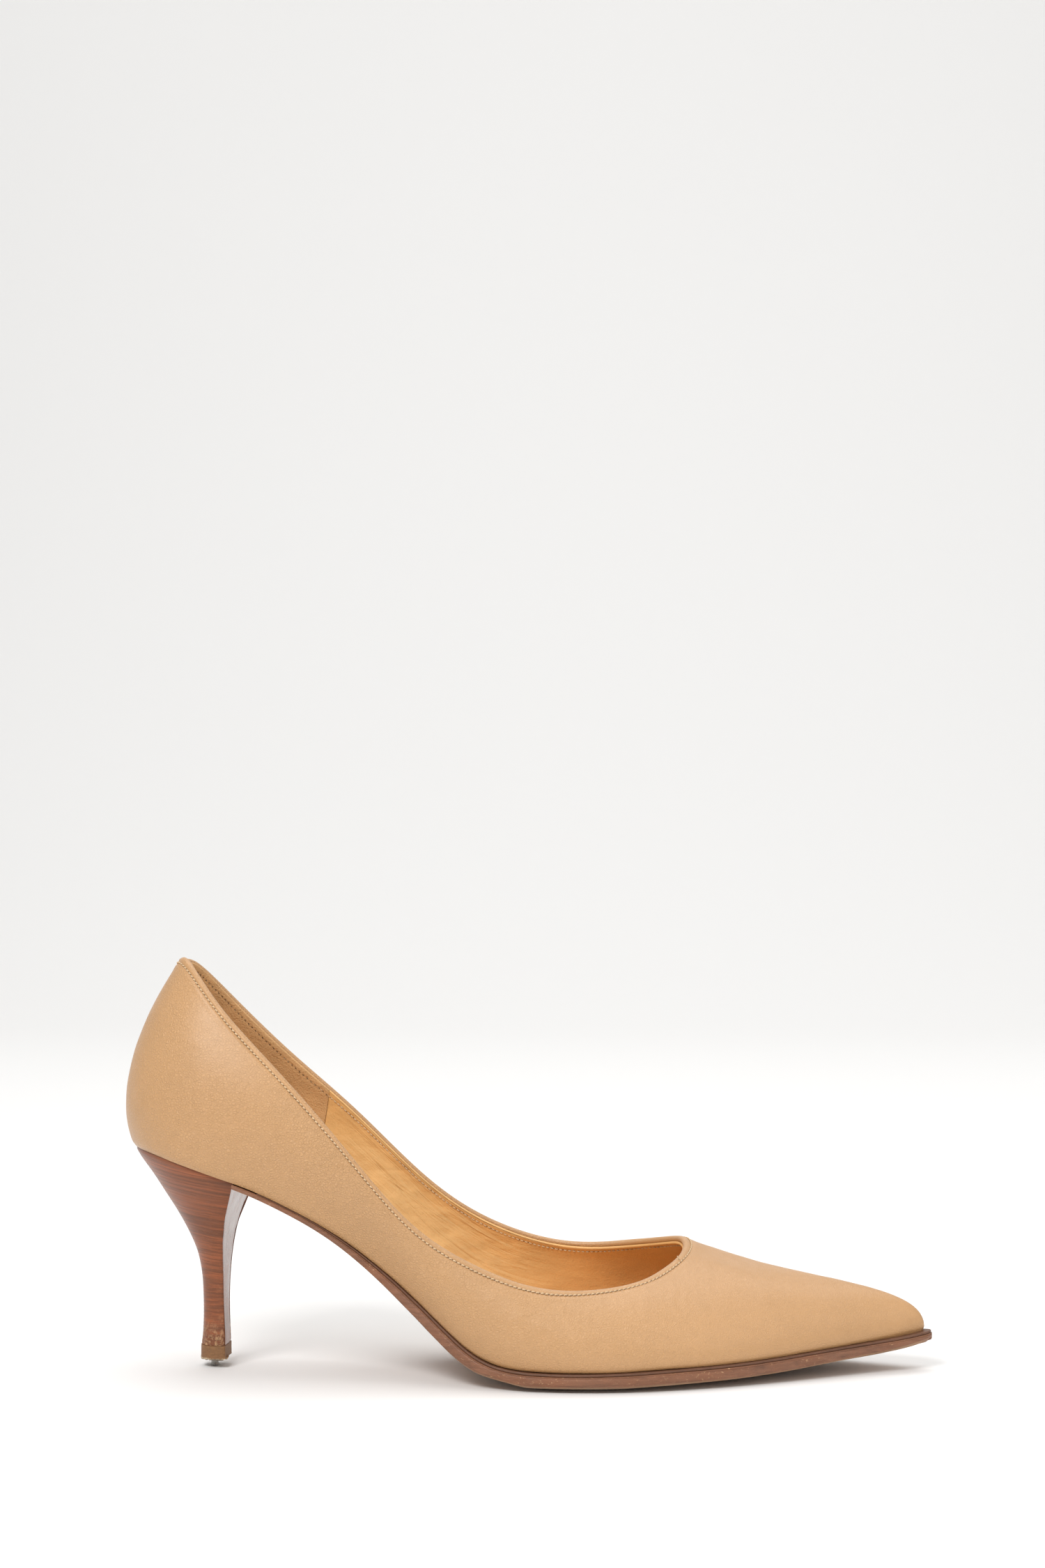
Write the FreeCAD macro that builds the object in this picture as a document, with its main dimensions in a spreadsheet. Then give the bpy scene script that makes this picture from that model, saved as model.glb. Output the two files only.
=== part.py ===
"""High heel pump, right foot, in millimetres.

The shoe stands on Z = 0 with its toe towards +X and its outer (lateral) side
towards -Y.  The origin is at the bottom centre of the whole shoe.  Every shape
is first described for one sample size, and grade() carries it to the sizes in
the sheet, the way a shoemaker grades a last.
"""
import FreeCAD, Part
import math
import os
import Sketcher
from FreeCAD import Placement, Rotation, Vector

# ---------------------------------------------------------------- driving sizes
SIZES = (
    ("shoe_length", 240.4, "back of the upper to the tip of the sole"),
    ("ball_width", 77.5, "upper across the ball"),
    ("heel_rise", 66.2, "floor to the heel seat, at the back"),
    ("quarter_height", 55.4, "heel seat to the top edge, at the back"),
    ("upper_thick", 1.2, "upper leather"),
    ("lining_thick", 0.8, "lining leather"),
    ("stiffener_thick", 1.0, "toe box and heel counter at their thickest"),
    ("glue_gap", 0.06, "clearance between bonded layers"),
    ("tape_thick", 0.3, "reinforcing tapes"),
    ("skived_edge", 0.15, "stiffeners at their pared edges"),
    ("margin_width", 10.0, "lasting margin turned under the insole"),
    ("insole_thick", 2.0, "insole board"),
    ("sock_thick", 0.8, "sock lining"),
    ("pad_thick", 2.4, "foam pads under the sock"),
    ("sole_thick", 4.8, "outsole under the ball"),
    ("waist_thick", 1.3, "outsole at the heel breast"),
    ("sole_reach", 1.0, "outsole past the feather edge, at the sides"),
    ("toe_reach", 2.4, "outsole past the feather edge, at the toe"),
    ("rand_thick", 0.8, "rand between upper and outsole"),
    ("tape_width", 5.0, "top edge tape"),
    ("stitch_inset", 2.3, "stitch line below the top edge"),
    ("stitch_width", 0.7, "width of the stitch line"),
    ("heel_neck_width", 9.7, "heel across its foot"),
    ("heel_neck_depth", 7.6, "heel front to back at its foot"),
    ("cover_thick", 0.7, "stacked leather covering"),
    ("lift_thick", 4.8, "worn top lift"),
    ("dowel_bore", 2.2, "dowel of the top lift"),
    ("dowel_proud", 1.9, "dowel below the worn lift"),
    ("tube_outer", 5.0, "steel tube in the heel core"),
    ("shank_width", 12.0, "steel shank"),
    ("shank_length", 80.0, "steel shank"),
    ("shank_thick", 1.0, "steel shank"),
    ("rivet_bore", 3.0, "shank rivets"),
    ("screw_bore", 4.0, "heel attaching screw"),
    ("nail_bore", 1.6, "heel nails"),
)

doc = FreeCAD.newDocument("HighHeelPump")
sheet = doc.addObject("Spreadsheet::Sheet", "Sizes")
for row, (alias, value, note) in enumerate(SIZES, start=1):
    sheet.set("A%d" % row, alias)
    sheet.set("B%d" % row, str(value))
    sheet.set("C%d" % row, note)
    sheet.setAlias("B%d" % row, alias)
doc.recompute()


def size(alias):
    """Value of one named size in the sheet, in millimetres."""
    return float(getattr(sheet, alias))


# ------------------------------------------------- sample size of the last
SAMPLE_LENGTH = 240.4
SAMPLE_WIDTH = 77.5
SAMPLE_RISE = 66.2
SAMPLE_QUARTER = 55.4

# Side view of the feather edge, where the upper meets the sole: x, z.
FEATHER_SIDE = (
    (0.0, 66.6), (10.0, 65.3), (20.0, 62.6), (30.0, 59.4), (40.0, 55.9),
    (50.0, 51.3), (60.0, 46.0), (70.0, 39.6), (80.0, 32.0), (90.0, 23.4),
    (98.0, 16.2), (105.0, 10.6), (111.0, 7.6), (118.0, 6.1), (127.0, 5.6),
    (145.0, 5.7), (165.0, 6.3), (186.0, 7.0), (211.0, 8.8), (228.0, 10.2),
    (240.4, 11.8),
)

# Stations round the last, from the back seam along the outer side to the toe
# and back along the inner side.  Each is a curve that rises from the feather
# edge to the top edge: feather (x, y), pull of the lower handle, top edge
# (x, y, z), pull of the upper handle.
STATIONS = (
    ((2.9, 0.0), (-5.1, 0.0, 11.0), (17.2, 0.0, 121.7), (-17.2, 0.0, -24.6)),
    ((7.5, -14.0), (-3.5, -3.2, 11.0), (20.4, -9.0, 121.2), (-12.4, -8.5, -26.0)),
    ((20.0, -24.0), (-1.0, -3.5, 11.0), (31.0, -17.2, 108.6), (-6.0, -9.3, -20.5)),
    ((40.0, -26.0), (0.0, -3.5, 9.0), (47.4, -22.9, 91.7), (-3.4, -7.3, -14.5)),
    ((65.0, -25.0), (0.5, -3.5, 8.0), (67.3, -27.2, 70.2), (-0.8, -4.0, -8.0)),
    ((88.0, -27.0), (0.0, -4.5, 6.5), (87.0, -30.2, 48.3), (0.0, -3.5, -8.0)),
    ((105.0, -33.0), (0.0, -5.5, 6.4), (106.5, -31.7, 35.8), (0.0, -5.7, -7.5)),
    ((128.0, -38.0), (0.0, -4.3, 5.6), (127.5, -31.0, 28.9), (0.5, -7.5, -6.0)),
    ((155.0, -36.2), (-0.5, -4.0, 6.0), (148.5, -24.0, 28.8), (2.0, -9.0, -3.8)),
    ((185.0, -25.3), (-1.0, -4.0, 7.5), (159.0, -15.8, 31.6), (9.0, -7.0, -4.2)),
    ((212.0, -11.3), (0.0, -4.3, 9.5), (164.3, -9.0, 34.5), (16.5, -4.6, -4.6)),
    ((230.5, -1.8), (1.3, -2.5, 12.0), (166.3, -3.6, 36.2), (24.0, -2.0, -8.0)),
    ((238.0, 3.2), (2.6, 0.0, 15.5), (166.9, 1.0, 37.6), (29.5, 2.0, -11.6)),
    ((229.5, 8.4), (1.5, 1.8, 12.0), (166.0, 5.4, 38.6), (24.0, 2.6, -9.6)),
    ((210.0, 18.4), (0.0, 3.8, 9.5), (163.6, 9.8, 38.3), (17.0, 5.0, -6.8)),
    ((183.0, 31.0), (-0.5, 3.8, 8.0), (158.6, 15.2, 37.0), (9.0, 8.0, -4.4)),
    ((157.0, 36.2), (-0.5, 3.8, 6.0), (149.3, 21.5, 35.2), (3.0, 9.5, -4.6)),
    ((130.0, 30.5), (0.0, 5.3, 6.3), (130.5, 26.6, 34.3), (0.5, 6.9, -6.3)),
    ((107.0, 21.5), (-0.5, 7.0, 6.5), (108.5, 26.8, 40.6), (0.0, 5.7, -8.0)),
    ((88.0, 16.5), (-0.5, 6.5, 6.5), (88.3, 24.8, 54.0), (-0.5, 4.5, -9.0)),
    ((64.0, 18.0), (0.5, 5.5, 8.0), (67.6, 22.8, 74.0), (-0.8, 4.4, -10.0)),
    ((40.0, 23.5), (0.0, 4.0, 9.0), (48.3, 20.4, 91.4), (-4.0, 6.8, -14.0)),
    ((20.0, 23.2), (-1.0, 3.2, 11.0), (31.4, 16.0, 108.3), (-6.0, 9.2, -20.0)),
    ((7.5, 13.6), (-3.5, 3.2, 11.0), (20.4, 8.4, 119.9), (-12.4, 8.6, -24.7)),
)
STATION_COUNT = len(STATIONS)
TOE_STATION = 12


def between(table, x):
    """Smooth value of a table of (x, value) pairs at x, flat past its ends."""
    if x <= table[0][0]:
        return table[0][1]
    if x >= table[-1][0]:
        return table[-1][1]
    place = max(i for i in range(len(table) - 1) if table[i][0] <= x)

    def slope(i):
        low, high = max(i - 1, 0), min(i + 1, len(table) - 1)
        return (table[high][1] - table[low][1]) / (table[high][0] - table[low][0])

    (x0, z0), (x1, z1) = table[place], table[place + 1]
    run = x1 - x0
    t = (x - x0) / run
    blend0 = (1 + 2 * t) * (1 - t) ** 2
    blend1 = t * t * (3 - 2 * t)
    return (blend0 * z0 + blend1 * z1
            + t * (1 - t) ** 2 * run * slope(place)
            - t * t * (1 - t) * run * slope(place + 1))


def round_trip(rows):
    """C2 spline through a closed list of points; returns a function of u."""
    count = len(rows)
    axes = range(len(rows[0]))
    pulls = [[0.0] * len(rows[0]) for _ in rows]
    for _ in range(40):
        pulls = [[(3 * (rows[(i + 1) % count][k] - rows[i - 1][k])
                   - pulls[i - 1][k] - pulls[(i + 1) % count][k]) / 4
                  for k in axes] for i in range(count)]

    def at(u):
        i = int(math.floor(u)) % count
        j = (i + 1) % count
        t = u - math.floor(u)
        weights = ((1 + 2 * t) * (1 - t) ** 2, t * t * (3 - 2 * t),
                   t * (1 - t) ** 2, -t * t * (1 - t))
        return [weights[0] * rows[i][k] + weights[1] * rows[j][k]
                + weights[2] * pulls[i][k] + weights[3] * pulls[j][k]
                for k in axes]
    return at


def feather_height(x):
    """Sample-size height of the feather edge at x."""
    return between(FEATHER_SIDE, x)


def guide_rows():
    """Four closed guides round the sample last: feather, two handles, top."""
    feather, low, high, top = [], [], [], []
    for foot, low_pull, edge, high_pull in STATIONS:
        base = (foot[0], foot[1], feather_height(foot[0]))
        feather.append(base)
        low.append([base[k] + low_pull[k] for k in range(3)])
        high.append([edge[k] + high_pull[k] for k in range(3)])
        top.append(edge)
    return [round_trip(row) for row in (feather, low, high, top)]


GUIDES = guide_rows()
# ---------------------------------------------------------------- end of form
UP = Vector(0, 0, 1)
GAP = size("glue_gap")
LENGTH_GRADE = size("shoe_length") / SAMPLE_LENGTH
WIDTH_GRADE = size("ball_width") / SAMPLE_WIDTH
WALL_GRADE = size("quarter_height") / SAMPLE_QUARTER
SAMPLE_BALL = 5.6
BALL_HEIGHT = size("sole_thick") + size("rand_thick")
BREAST_X = 36.8 * LENGTH_GRADE
BELOW_FLOOR = 20.0
TALL = size("heel_rise") + size("quarter_height") + 80.0


def feather_at(x):
    """Height of the feather edge at x, at the size being made."""
    share = (feather_height(x / LENGTH_GRADE) - SAMPLE_BALL) / (SAMPLE_RISE - SAMPLE_BALL)
    return BALL_HEIGHT + (size("heel_rise") - BALL_HEIGHT) * share


def grade(point):
    """Carry a point of the sample last to the size being made."""
    x = point[0] * LENGTH_GRADE
    above = point[2] - feather_height(point[0])
    return Vector(x, point[1] * WIDTH_GRADE, feather_at(x) + above * WALL_GRADE)


def skin(u, v):
    """Point of the outer skin: u counts stations, v runs feather to top edge."""
    feather, low, high, top = (Vector(*guide(u)) for guide in GUIDES)
    feather.z = feather_height(feather.x)
    w = 1 - v
    mixed = feather * w ** 3 + low * (3 * v * w * w) + high * (3 * v * v * w) + top * v ** 3
    return grade(mixed)


def skin_normal(u, v):
    """Outward unit normal of the skin."""
    step = 0.02
    v = min(max(v, step), 1 - step)
    along = skin(u + step, v) - skin(u - step, v)
    rise = skin(u, v + step) - skin(u, v - step)
    return along.cross(rise).normalize()


def ease(value, start, stop):
    """Smooth step from 0 at start to 1 at stop."""
    t = min(max((value - start) / (stop - start), 0.0), 1.0)
    return t * t * (3 - 2 * t)


def from_back(u):
    """Stations between u and the back seam."""
    return min(u % STATION_COUNT, STATION_COUNT - u % STATION_COUNT)


def stiffening(u, v):
    """Share of the full stiffener thickness at a place on the skin."""
    back = from_back(u)
    counter = (1 - ease(back, 2.0, 3.8)) * (1 - ease(v, 0.50, 0.78))
    toe = ease(back, TOE_STATION - 3.2, TOE_STATION - 1.8) * (1 - ease(v, 0.34, 0.62))
    return max(counter, toe)


TAPE_DEPTH = size("upper_thick") + GAP
STIFF_DEPTH = TAPE_DEPTH + size("tape_thick") + GAP


def stiffener_inside(u, v):
    """Depth below the skin of the inner face of a stiffener."""
    body = size("stiffener_thick") - size("skived_edge")
    return STIFF_DEPTH + size("skived_edge") + body * stiffening(u, v)


def lining_outside(u, v):
    """Depth below the skin of the outer face of the lining."""
    return stiffener_inside(u, v) + GAP


# ------------------------------------------------- thick patches of the skin
def knots_for(count):
    """Clamped uniform cubic knots and multiplicities for a row of poles."""
    inner = count - 4
    return list(range(inner + 2)), [4] + [1] * inner + [4]


def drawn_through(points, first):
    """Poles of a cubic row that passes close to the points from first on."""
    poles = [Vector(p) for p in points]
    for _ in range(8):
        misses = []
        for i in range(1, len(points) - 1):
            reached = (poles[i - 1] + poles[i] * 4 + poles[i + 1]) * (1 / 6.0)
            misses.append(points[i] - reached)
        for i, miss in enumerate(misses, start=1):
            if i >= first:
                poles[i] = poles[i] + miss
    return poles


def fair_net(net, first_row):
    """Poles for a net of points, kept crisp in the rows before first_row."""
    columns = [drawn_through(column, first_row) for column in net]
    rows = [drawn_through([column[j] for column in columns], 1)
            for j in range(len(columns[0]))]
    return [[rows[j][i] for j in range(len(rows))] for i in range(len(net))]


def net_face(poles):
    """Cubic face on a net of poles."""
    u_knots, u_mults = knots_for(len(poles))
    v_knots, v_mults = knots_for(len(poles[0]))
    surface = Part.BSplineSurface()
    surface.buildFromPolesMultsKnots(poles, u_mults, v_mults, u_knots, v_knots,
                                     False, False, 3, 3)
    return surface.toShape()


def rim_face(outer_row, inner_row):
    """Ruled face between two rows of poles."""
    knots, mults = knots_for(len(outer_row))
    surface = Part.BSplineSurface()
    surface.buildFromPolesMultsKnots([outer_row, inner_row], [2, 2], mults, [0, 1],
                                     knots, False, False, 1, 3)
    return surface.toShape()


def solid_between(outer, inner):
    """Closed solid between two nets of poles of the same size."""
    faces = [net_face(outer), net_face(inner),
             rim_face(outer[0], inner[0]), rim_face(outer[-1], inner[-1]),
             rim_face([c[0] for c in outer], [c[0] for c in inner]),
             rim_face([c[-1] for c in outer], [c[-1] for c in inner])]
    shell = Part.makeShell(faces)
    shell.sewShape()
    solid = Part.makeSolid(shell)
    if solid.Volume < 0:
        solid.reverse()
    return solid


def spread(start, stop, steps):
    """Evenly spaced values from start to stop, both included."""
    return [start + (stop - start) * i / float(steps) for i in range(steps + 1)]


def thick_patch(u_range, v_low, v_high, outside, inside, u_step=0.25, rows=12):
    """Solid layer of the skin between two depths, each a function of u and v."""
    columns = spread(u_range[0], u_range[1], int(round((u_range[1] - u_range[0]) / u_step)))
    outer, inner = [], []
    for u in columns:
        heights = spread(v_low(u), v_high(u), rows)
        outer.append([skin(u, v) - skin_normal(u, v) * outside(u, v) for v in heights])
        inner.append([skin(u, v) - skin_normal(u, v) * inside(u, v) for v in heights])
    return solid_between(fair_net(outer, 1), fair_net(inner, 1))


def always(value):
    """Function of a place on the skin that is the same everywhere."""
    return lambda *place: value


def floor_clear(u):
    """v at which a layer inside the upper clears the lasting margin."""
    station = math.floor(u)
    low_pull = STATIONS[station % STATION_COUNT][1][2]
    next_pull = STATIONS[(station + 1) % STATION_COUNT][1][2]
    pull = low_pull + (next_pull - low_pull) * (u - station)
    return (size("upper_thick") + 0.6) / (3.0 * pull * WALL_GRADE)


# ------------------------------------------------- layers under the foot
def side_point(x, depth):
    """Point of the side view at a depth under the feather edge, square to it."""
    slope = (feather_at(x + 0.5) - feather_at(x - 0.5))
    run = math.hypot(1.0, slope)
    return Vector(x + depth * slope / run, 0, feather_at(x) - depth / run)


def side_edge(x_from, x_to, depth):
    """Spline edge of the side view from x_from to x_to; depth is a function of x."""
    points = [side_point(x, depth(x)) for x in spread(x_from, x_to, 28)]
    curve = Part.BSplineCurve()
    curve.interpolate(points)
    return curve.toShape()


def slab(x_from, x_to, upper_depth, lower_depth):
    """Plate as wide as the shoe between two depths under the feather edge."""
    top = side_edge(x_from, x_to, upper_depth)
    bottom = side_edge(x_from, x_to, lower_depth)
    ends = [Part.makeLine(top.valueAt(top.FirstParameter), bottom.valueAt(bottom.FirstParameter)),
            Part.makeLine(top.valueAt(top.LastParameter), bottom.valueAt(bottom.LastParameter))]
    face = Part.Face(Part.Wire([top, ends[1], bottom, ends[0]]))
    half = size("ball_width")
    face.translate(Vector(0, -half, 0))
    return face.extrude(Vector(0, 2 * half, 0))


def spine(x):
    """Point on the middle line of the bottom, in plan, kept off both ends."""
    low, high = 24 * LENGTH_GRADE, 214 * LENGTH_GRADE
    middle = between(((24, 0), (50, -2.5), (80, -5.5), (105, -5.5), (135, -3), (160, 0),
                      (190, 3), (214, 3.4)), min(max(x, low), high) / LENGTH_GRADE)
    return Vector(min(max(x, low), high), middle * WIDTH_GRADE, 0)


def sideways(u, reach):
    """Plan point of the feather edge moved out square to it by reach."""
    here = grade(GUIDES[0](u))
    along = grade(GUIDES[0](u + 0.05)) - grade(GUIDES[0](u - 0.05))
    outward = Vector(along.y, -along.x, 0).normalize()
    if outward.dot(here - spine(here.x)) < 0:
        outward = outward * -1
    return Vector(here.x, here.y, 0) + outward * reach(here.x)


MOST_TURNED_IN = 0.62
LEAST_SQUARE = 0.45


def towards_spine(u, amount, least_square, further):
    """Plan point moved towards the middle line: inset by an amount, then further in."""
    here = grade(GUIDES[0](u))
    along = grade(GUIDES[0](u + 0.05)) - grade(GUIDES[0](u - 0.05))
    here.z = along.z = 0
    inward = spine(here.x) - here
    longest = MOST_TURNED_IN * inward.Length
    inward.normalize()
    square = max(inward.cross(along.normalize()).Length, least_square)
    return here + inward * (min(amount / square, longest) + further)


def upright(place, per_station):
    """Tall prism on a closed plan; place gives the plan's point at a station."""
    stations = spread(0, STATION_COUNT, STATION_COUNT * per_station)[:-1]
    curve = Part.BSplineCurve()
    curve.interpolate([place(u) for u in stations], PeriodicFlag=True)
    face = Part.Face(Part.Wire([curve.toShape()]))
    face.translate(Vector(0, 0, -BELOW_FLOOR))
    return face.extrude(Vector(0, 0, TALL))


def plan_out(reach):
    """Prism on the plan of the bottom, moved outwards by a function of x."""
    return upright(lambda u: sideways(u, reach), 4)


def plan_bed(amount):
    """Prism on the plan of the foot bed, inset by one amount square to the edge."""
    return upright(lambda u: towards_spine(u, amount, LEAST_SQUARE, 0.0), 2)


def plan_margin(room):
    """Prism on the plan left free inside the lasting margin, with room next to it."""
    return upright(lambda u: towards_spine(u, size("margin_width"), 1.0, room), 4)


def layer(x_from, x_to, upper_depth, lower_depth, plan):
    """Plate between two depths, cut to a plan."""
    return slab(x_from, x_to, upper_depth, lower_depth).common(plan)


def one_solid(shape):
    """The single solid of a boolean's result."""
    solids = sorted(shape.Solids, key=lambda solid: solid.Volume)
    return solids[-1]


# ------------------------------------------------- document helpers
HOME = Placement(Vector(-size("shoe_length") / 2, 0.018 * size("ball_width"), 0), Rotation())
NODES = []


def add_form(name, shape):
    """Put a shape made from the last into the document as a sub-part."""
    part = doc.addObject("Part::Feature", name)
    part.Label = name
    part.Shape = shape
    part.Placement = HOME
    NODES.append(part)
    return part


# ------------------------------------------------- upper and its layers
SEAM_SLIT = 0.012
MARGIN_ROWS = (1.0, 0.6, 0.25)
WALL_ROWS = (0.05, 0.12, 0.2, 0.3, 0.4, 0.5, 0.6, 0.7, 0.8, 0.9, 1.0)


def upper_net(depth):
    """Net of the upper at a depth: lasting margin, feather corner and wall."""
    net = []
    for u in spread(SEAM_SLIT, STATION_COUNT - SEAM_SLIT, STATION_COUNT * 4):
        corner = skin(u, 0)
        inward = spine(corner.x) - Vector(corner.x, corner.y, 0)
        width = min(size("margin_width"), MOST_TURNED_IN * inward.Length)
        inward.normalize()
        column = []
        for share in MARGIN_ROWS:
            place = corner + inward * (width * share)
            column.append(Vector(place.x, place.y, feather_at(place.x) + depth))
        column.append(corner + inward * depth + UP * depth)
        column += [skin(u, v) - skin_normal(u, v) * depth for v in WALL_ROWS]
        net.append(column)
    return net


def make_upper():
    """Leather upper: one sheet with its lasting margin, open at the back seam."""
    return solid_between(fair_net(upper_net(0.0), 5), fair_net(upper_net(size("upper_thick")), 5))


def make_lining(u_range):
    """Lining leather over a range of stations, feather edge to top edge."""
    return thick_patch(u_range, floor_clear, always(1.0), lining_outside,
                       lambda u, v: lining_outside(u, v) + size("lining_thick"))


def below_top(u, distance):
    """v at which the skin is a distance below the top edge."""
    v, run = 1.0, 0.0
    last = skin(u, v)
    while run < distance and v > 0:
        v -= 0.005
        here = skin(u, v)
        run += (here - last).Length
        last = here
    return v


GRIP_END = 3.6
GRIP_SLIT = 0.02
SEAM_END = 0.03
SEAM_TAPE_HALF = 0.3
COUNTER_END, COUNTER_TOP = 3.5, 0.76
TOE_BOX_HALF, TOE_BOX_TOP, TOE_BOX_PEAK = 3.0, 0.36, 0.24
TAPE_INSIDE = TAPE_DEPTH + size("tape_thick")
TAPE_DROP = 0.4
STITCH_PROUD = 0.25
STITCH_LIFT = 0.06
SEAM_TAPE_EASE = 0.08


def stitch_edge(side):
    """v of one edge of the stitch line; side is 1 for its lower edge, -1 for its upper."""
    return lambda u: below_top(u, size("stitch_inset") + side * size("stitch_width") / 2)


add_form("upper_leather", make_upper())
add_form("vamp_lining", make_lining((GRIP_END + GRIP_SLIT, STATION_COUNT - GRIP_END - GRIP_SLIT)))
add_form("heel_grip_lining", make_lining((-GRIP_END, GRIP_END)))
add_form("heel_counter", thick_patch((-COUNTER_END, COUNTER_END), floor_clear, always(COUNTER_TOP),
                                     always(STIFF_DEPTH), stiffener_inside))
add_form("toe_box", thick_patch(
    (TOE_STATION - TOE_BOX_HALF, TOE_STATION + TOE_BOX_HALF), floor_clear,
    lambda u: TOE_BOX_TOP + TOE_BOX_PEAK * (1 - abs(u - TOE_STATION) / TOE_BOX_HALF),
    always(STIFF_DEPTH), stiffener_inside))
add_form("topline_tape", thick_patch((SEAM_END, STATION_COUNT - SEAM_END),
                                     lambda u: below_top(u, size("tape_width")),
                                     lambda u: below_top(u, TAPE_DROP),
                                     always(TAPE_DEPTH), always(TAPE_INSIDE), rows=4))
add_form("back_seam_tape", thick_patch((-SEAM_TAPE_HALF, SEAM_TAPE_HALF), floor_clear,
                                       lambda u: below_top(u, size("tape_width") + 0.8),
                                       always(TAPE_DEPTH + SEAM_TAPE_EASE), always(TAPE_INSIDE), 0.1))
add_form("topline_stitching", thick_patch(
    (SEAM_END, STATION_COUNT - SEAM_END), stitch_edge(1), stitch_edge(-1),
    always(-STITCH_PROUD), always(-STITCH_LIFT), rows=3))


# ------------------------------------------------- heel, lofted in sections
HEEL_AXIS = 26.9
HEEL_TURN = -3.5
# sample size: height, back, front, half width at the breast
HEEL_SECTIONS = (
    (6.7, 23.0, 30.9, 4.85), (10.0, 23.4, 30.8, 4.7), (16.0, 23.6, 30.6, 4.7),
    (22.0, 23.5, 30.5, 5.2), (28.0, 23.1, 30.6, 6.2), (34.0, 21.9, 30.9, 8.0),
    (40.0, 19.5, 31.5, 10.8), (46.0, 16.3, 32.9, 14.6), (52.0, 12.6, 35.0, 19.0),
    (58.0, 8.8, 37.0, 23.3), (64.0, 4.6, 38.5, 25.2), (70.0, 1.5, 39.5, 26.0),
)
SECTION_TOP = HEEL_SECTIONS[-1][0]
SECTION_FOOT = HEEL_SECTIONS[0][0]
NECK_BACK, NECK_FRONT, NECK_SIDE = 23.1, 30.7, 4.85
LIFT_TOP = "(Sizes.dowel_proud + Sizes.lift_thick)"
HEEL_HOME = Placement(HOME.Base, Rotation(UP, HEEL_TURN),
                      Vector(HEEL_AXIS * LENGTH_GRADE, 0, 0))


def origin_plane(body, role):
    """One of a body's own origin planes."""
    return [plane for plane in body.Origin.OriginFeatures if plane.Role == role][0]


def flat_sketch(body, name, role="XY_Plane"):
    """Sketch on one of a body's own origin planes."""
    sketch = body.newObject("Sketcher::SketchObject", name)
    sketch.AttachmentSupport = [(origin_plane(body, role), "")]
    sketch.MapMode = "FlatFace"
    return sketch


def section_values(section):
    """Expressions for the height, centre, radius, front and half width of a section."""
    height, back, front, side = section
    rise = (height - SECTION_FOOT) / (SECTION_TOP - SECTION_FOOT)
    length = "Sizes.shoe_length / %.1f" % SAMPLE_LENGTH
    axis = "%.1f * %s" % (HEEL_AXIS, length)
    level = ("%s + (Sizes.heel_rise + %.1f - %s) * %.4f"
             % (LIFT_TOP, SECTION_TOP - SAMPLE_RISE, LIFT_TOP, rise))
    rear = "%s - Sizes.heel_neck_depth / 2 - %.2f * %s" % (axis, NECK_BACK - back, length)
    breast = "%s + Sizes.heel_neck_depth / 2 + %.2f * %s" % (axis, front - NECK_FRONT, length)
    half = ("Sizes.heel_neck_width / 2 + %.2f * Sizes.ball_width / %.1f"
            % (side - NECK_SIDE, SAMPLE_WIDTH))
    depth = "((%s) - (%s))" % (breast, rear)
    radius = "((%s^2 + (%s)^2) / (2 * %s))" % (depth, half, depth)
    return level, "(%s) + %s" % (rear, radius), radius, breast, half


def value_of(expression):
    """Number that an expression over the sheet comes to now."""
    return float(sheet.evalExpression(expression))


def fix_length(sketch, name, kind, places, expression):
    """Named length in a sketch, tied to the sheet by an expression."""
    sketch.addConstraint(Sketcher.Constraint(kind, *places, value_of(expression)))
    sketch.renameConstraint(sketch.ConstraintCount - 1, name)
    sketch.setExpression("Constraints." + name, expression)


def dee(sketch, centre, radius, front):
    """Straight breast closed by one round back, tied to the sheet."""
    middle, round_off, breast = value_of(centre), value_of(radius), value_of(front)
    opening = math.acos((breast - middle) / round_off)
    arc = Part.ArcOfCircle(Part.Circle(Vector(middle, 0, 0), UP, round_off),
                           opening, 2 * math.pi - opening)
    sketch.addGeometry(arc, False)
    sketch.addGeometry(Part.LineSegment(arc.EndPoint, arc.StartPoint), False)
    sketch.addConstraint(Sketcher.Constraint("Coincident", 0, 2, 1, 1))
    sketch.addConstraint(Sketcher.Constraint("Coincident", 1, 2, 0, 1))
    sketch.addConstraint(Sketcher.Constraint("Vertical", 1))
    sketch.addConstraint(Sketcher.Constraint("PointOnObject", 0, 3, -1))
    fix_length(sketch, "radius", "Radius", (0,), radius)
    fix_length(sketch, "centre", "DistanceX", (-1, 1, 0, 3), centre)
    fix_length(sketch, "front", "DistanceX", (-1, 1, 1, 1), front)


def slat(sketch, back, front, side):
    """Rectangle across the heel between back and front, tied to the sheet."""
    corners = [Vector(value_of(back), -value_of(side), 0), Vector(value_of(front), -value_of(side), 0),
               Vector(value_of(front), value_of(side), 0), Vector(value_of(back), value_of(side), 0)]
    for start, end in zip(corners, corners[1:] + corners[:1]):
        sketch.addGeometry(Part.LineSegment(start, end), False)
    for line in range(4):
        sketch.addConstraint(Sketcher.Constraint("Coincident", line, 2, (line + 1) % 4, 1))
    sketch.addConstraint(Sketcher.Constraint("Horizontal", 0))
    sketch.addConstraint(Sketcher.Constraint("Horizontal", 2))
    sketch.addConstraint(Sketcher.Constraint("Vertical", 3))
    sketch.addConstraint(Sketcher.Constraint("Symmetric", 1, 1, 1, 2, -1))
    fix_length(sketch, "width", "DistanceY", (1, 1, 1, 2), "2 * (%s)" % side)
    fix_length(sketch, "back", "DistanceX", (-1, 1, 0, 1), back)
    fix_length(sketch, "front", "DistanceX", (-1, 1, 1, 2), front)


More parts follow.
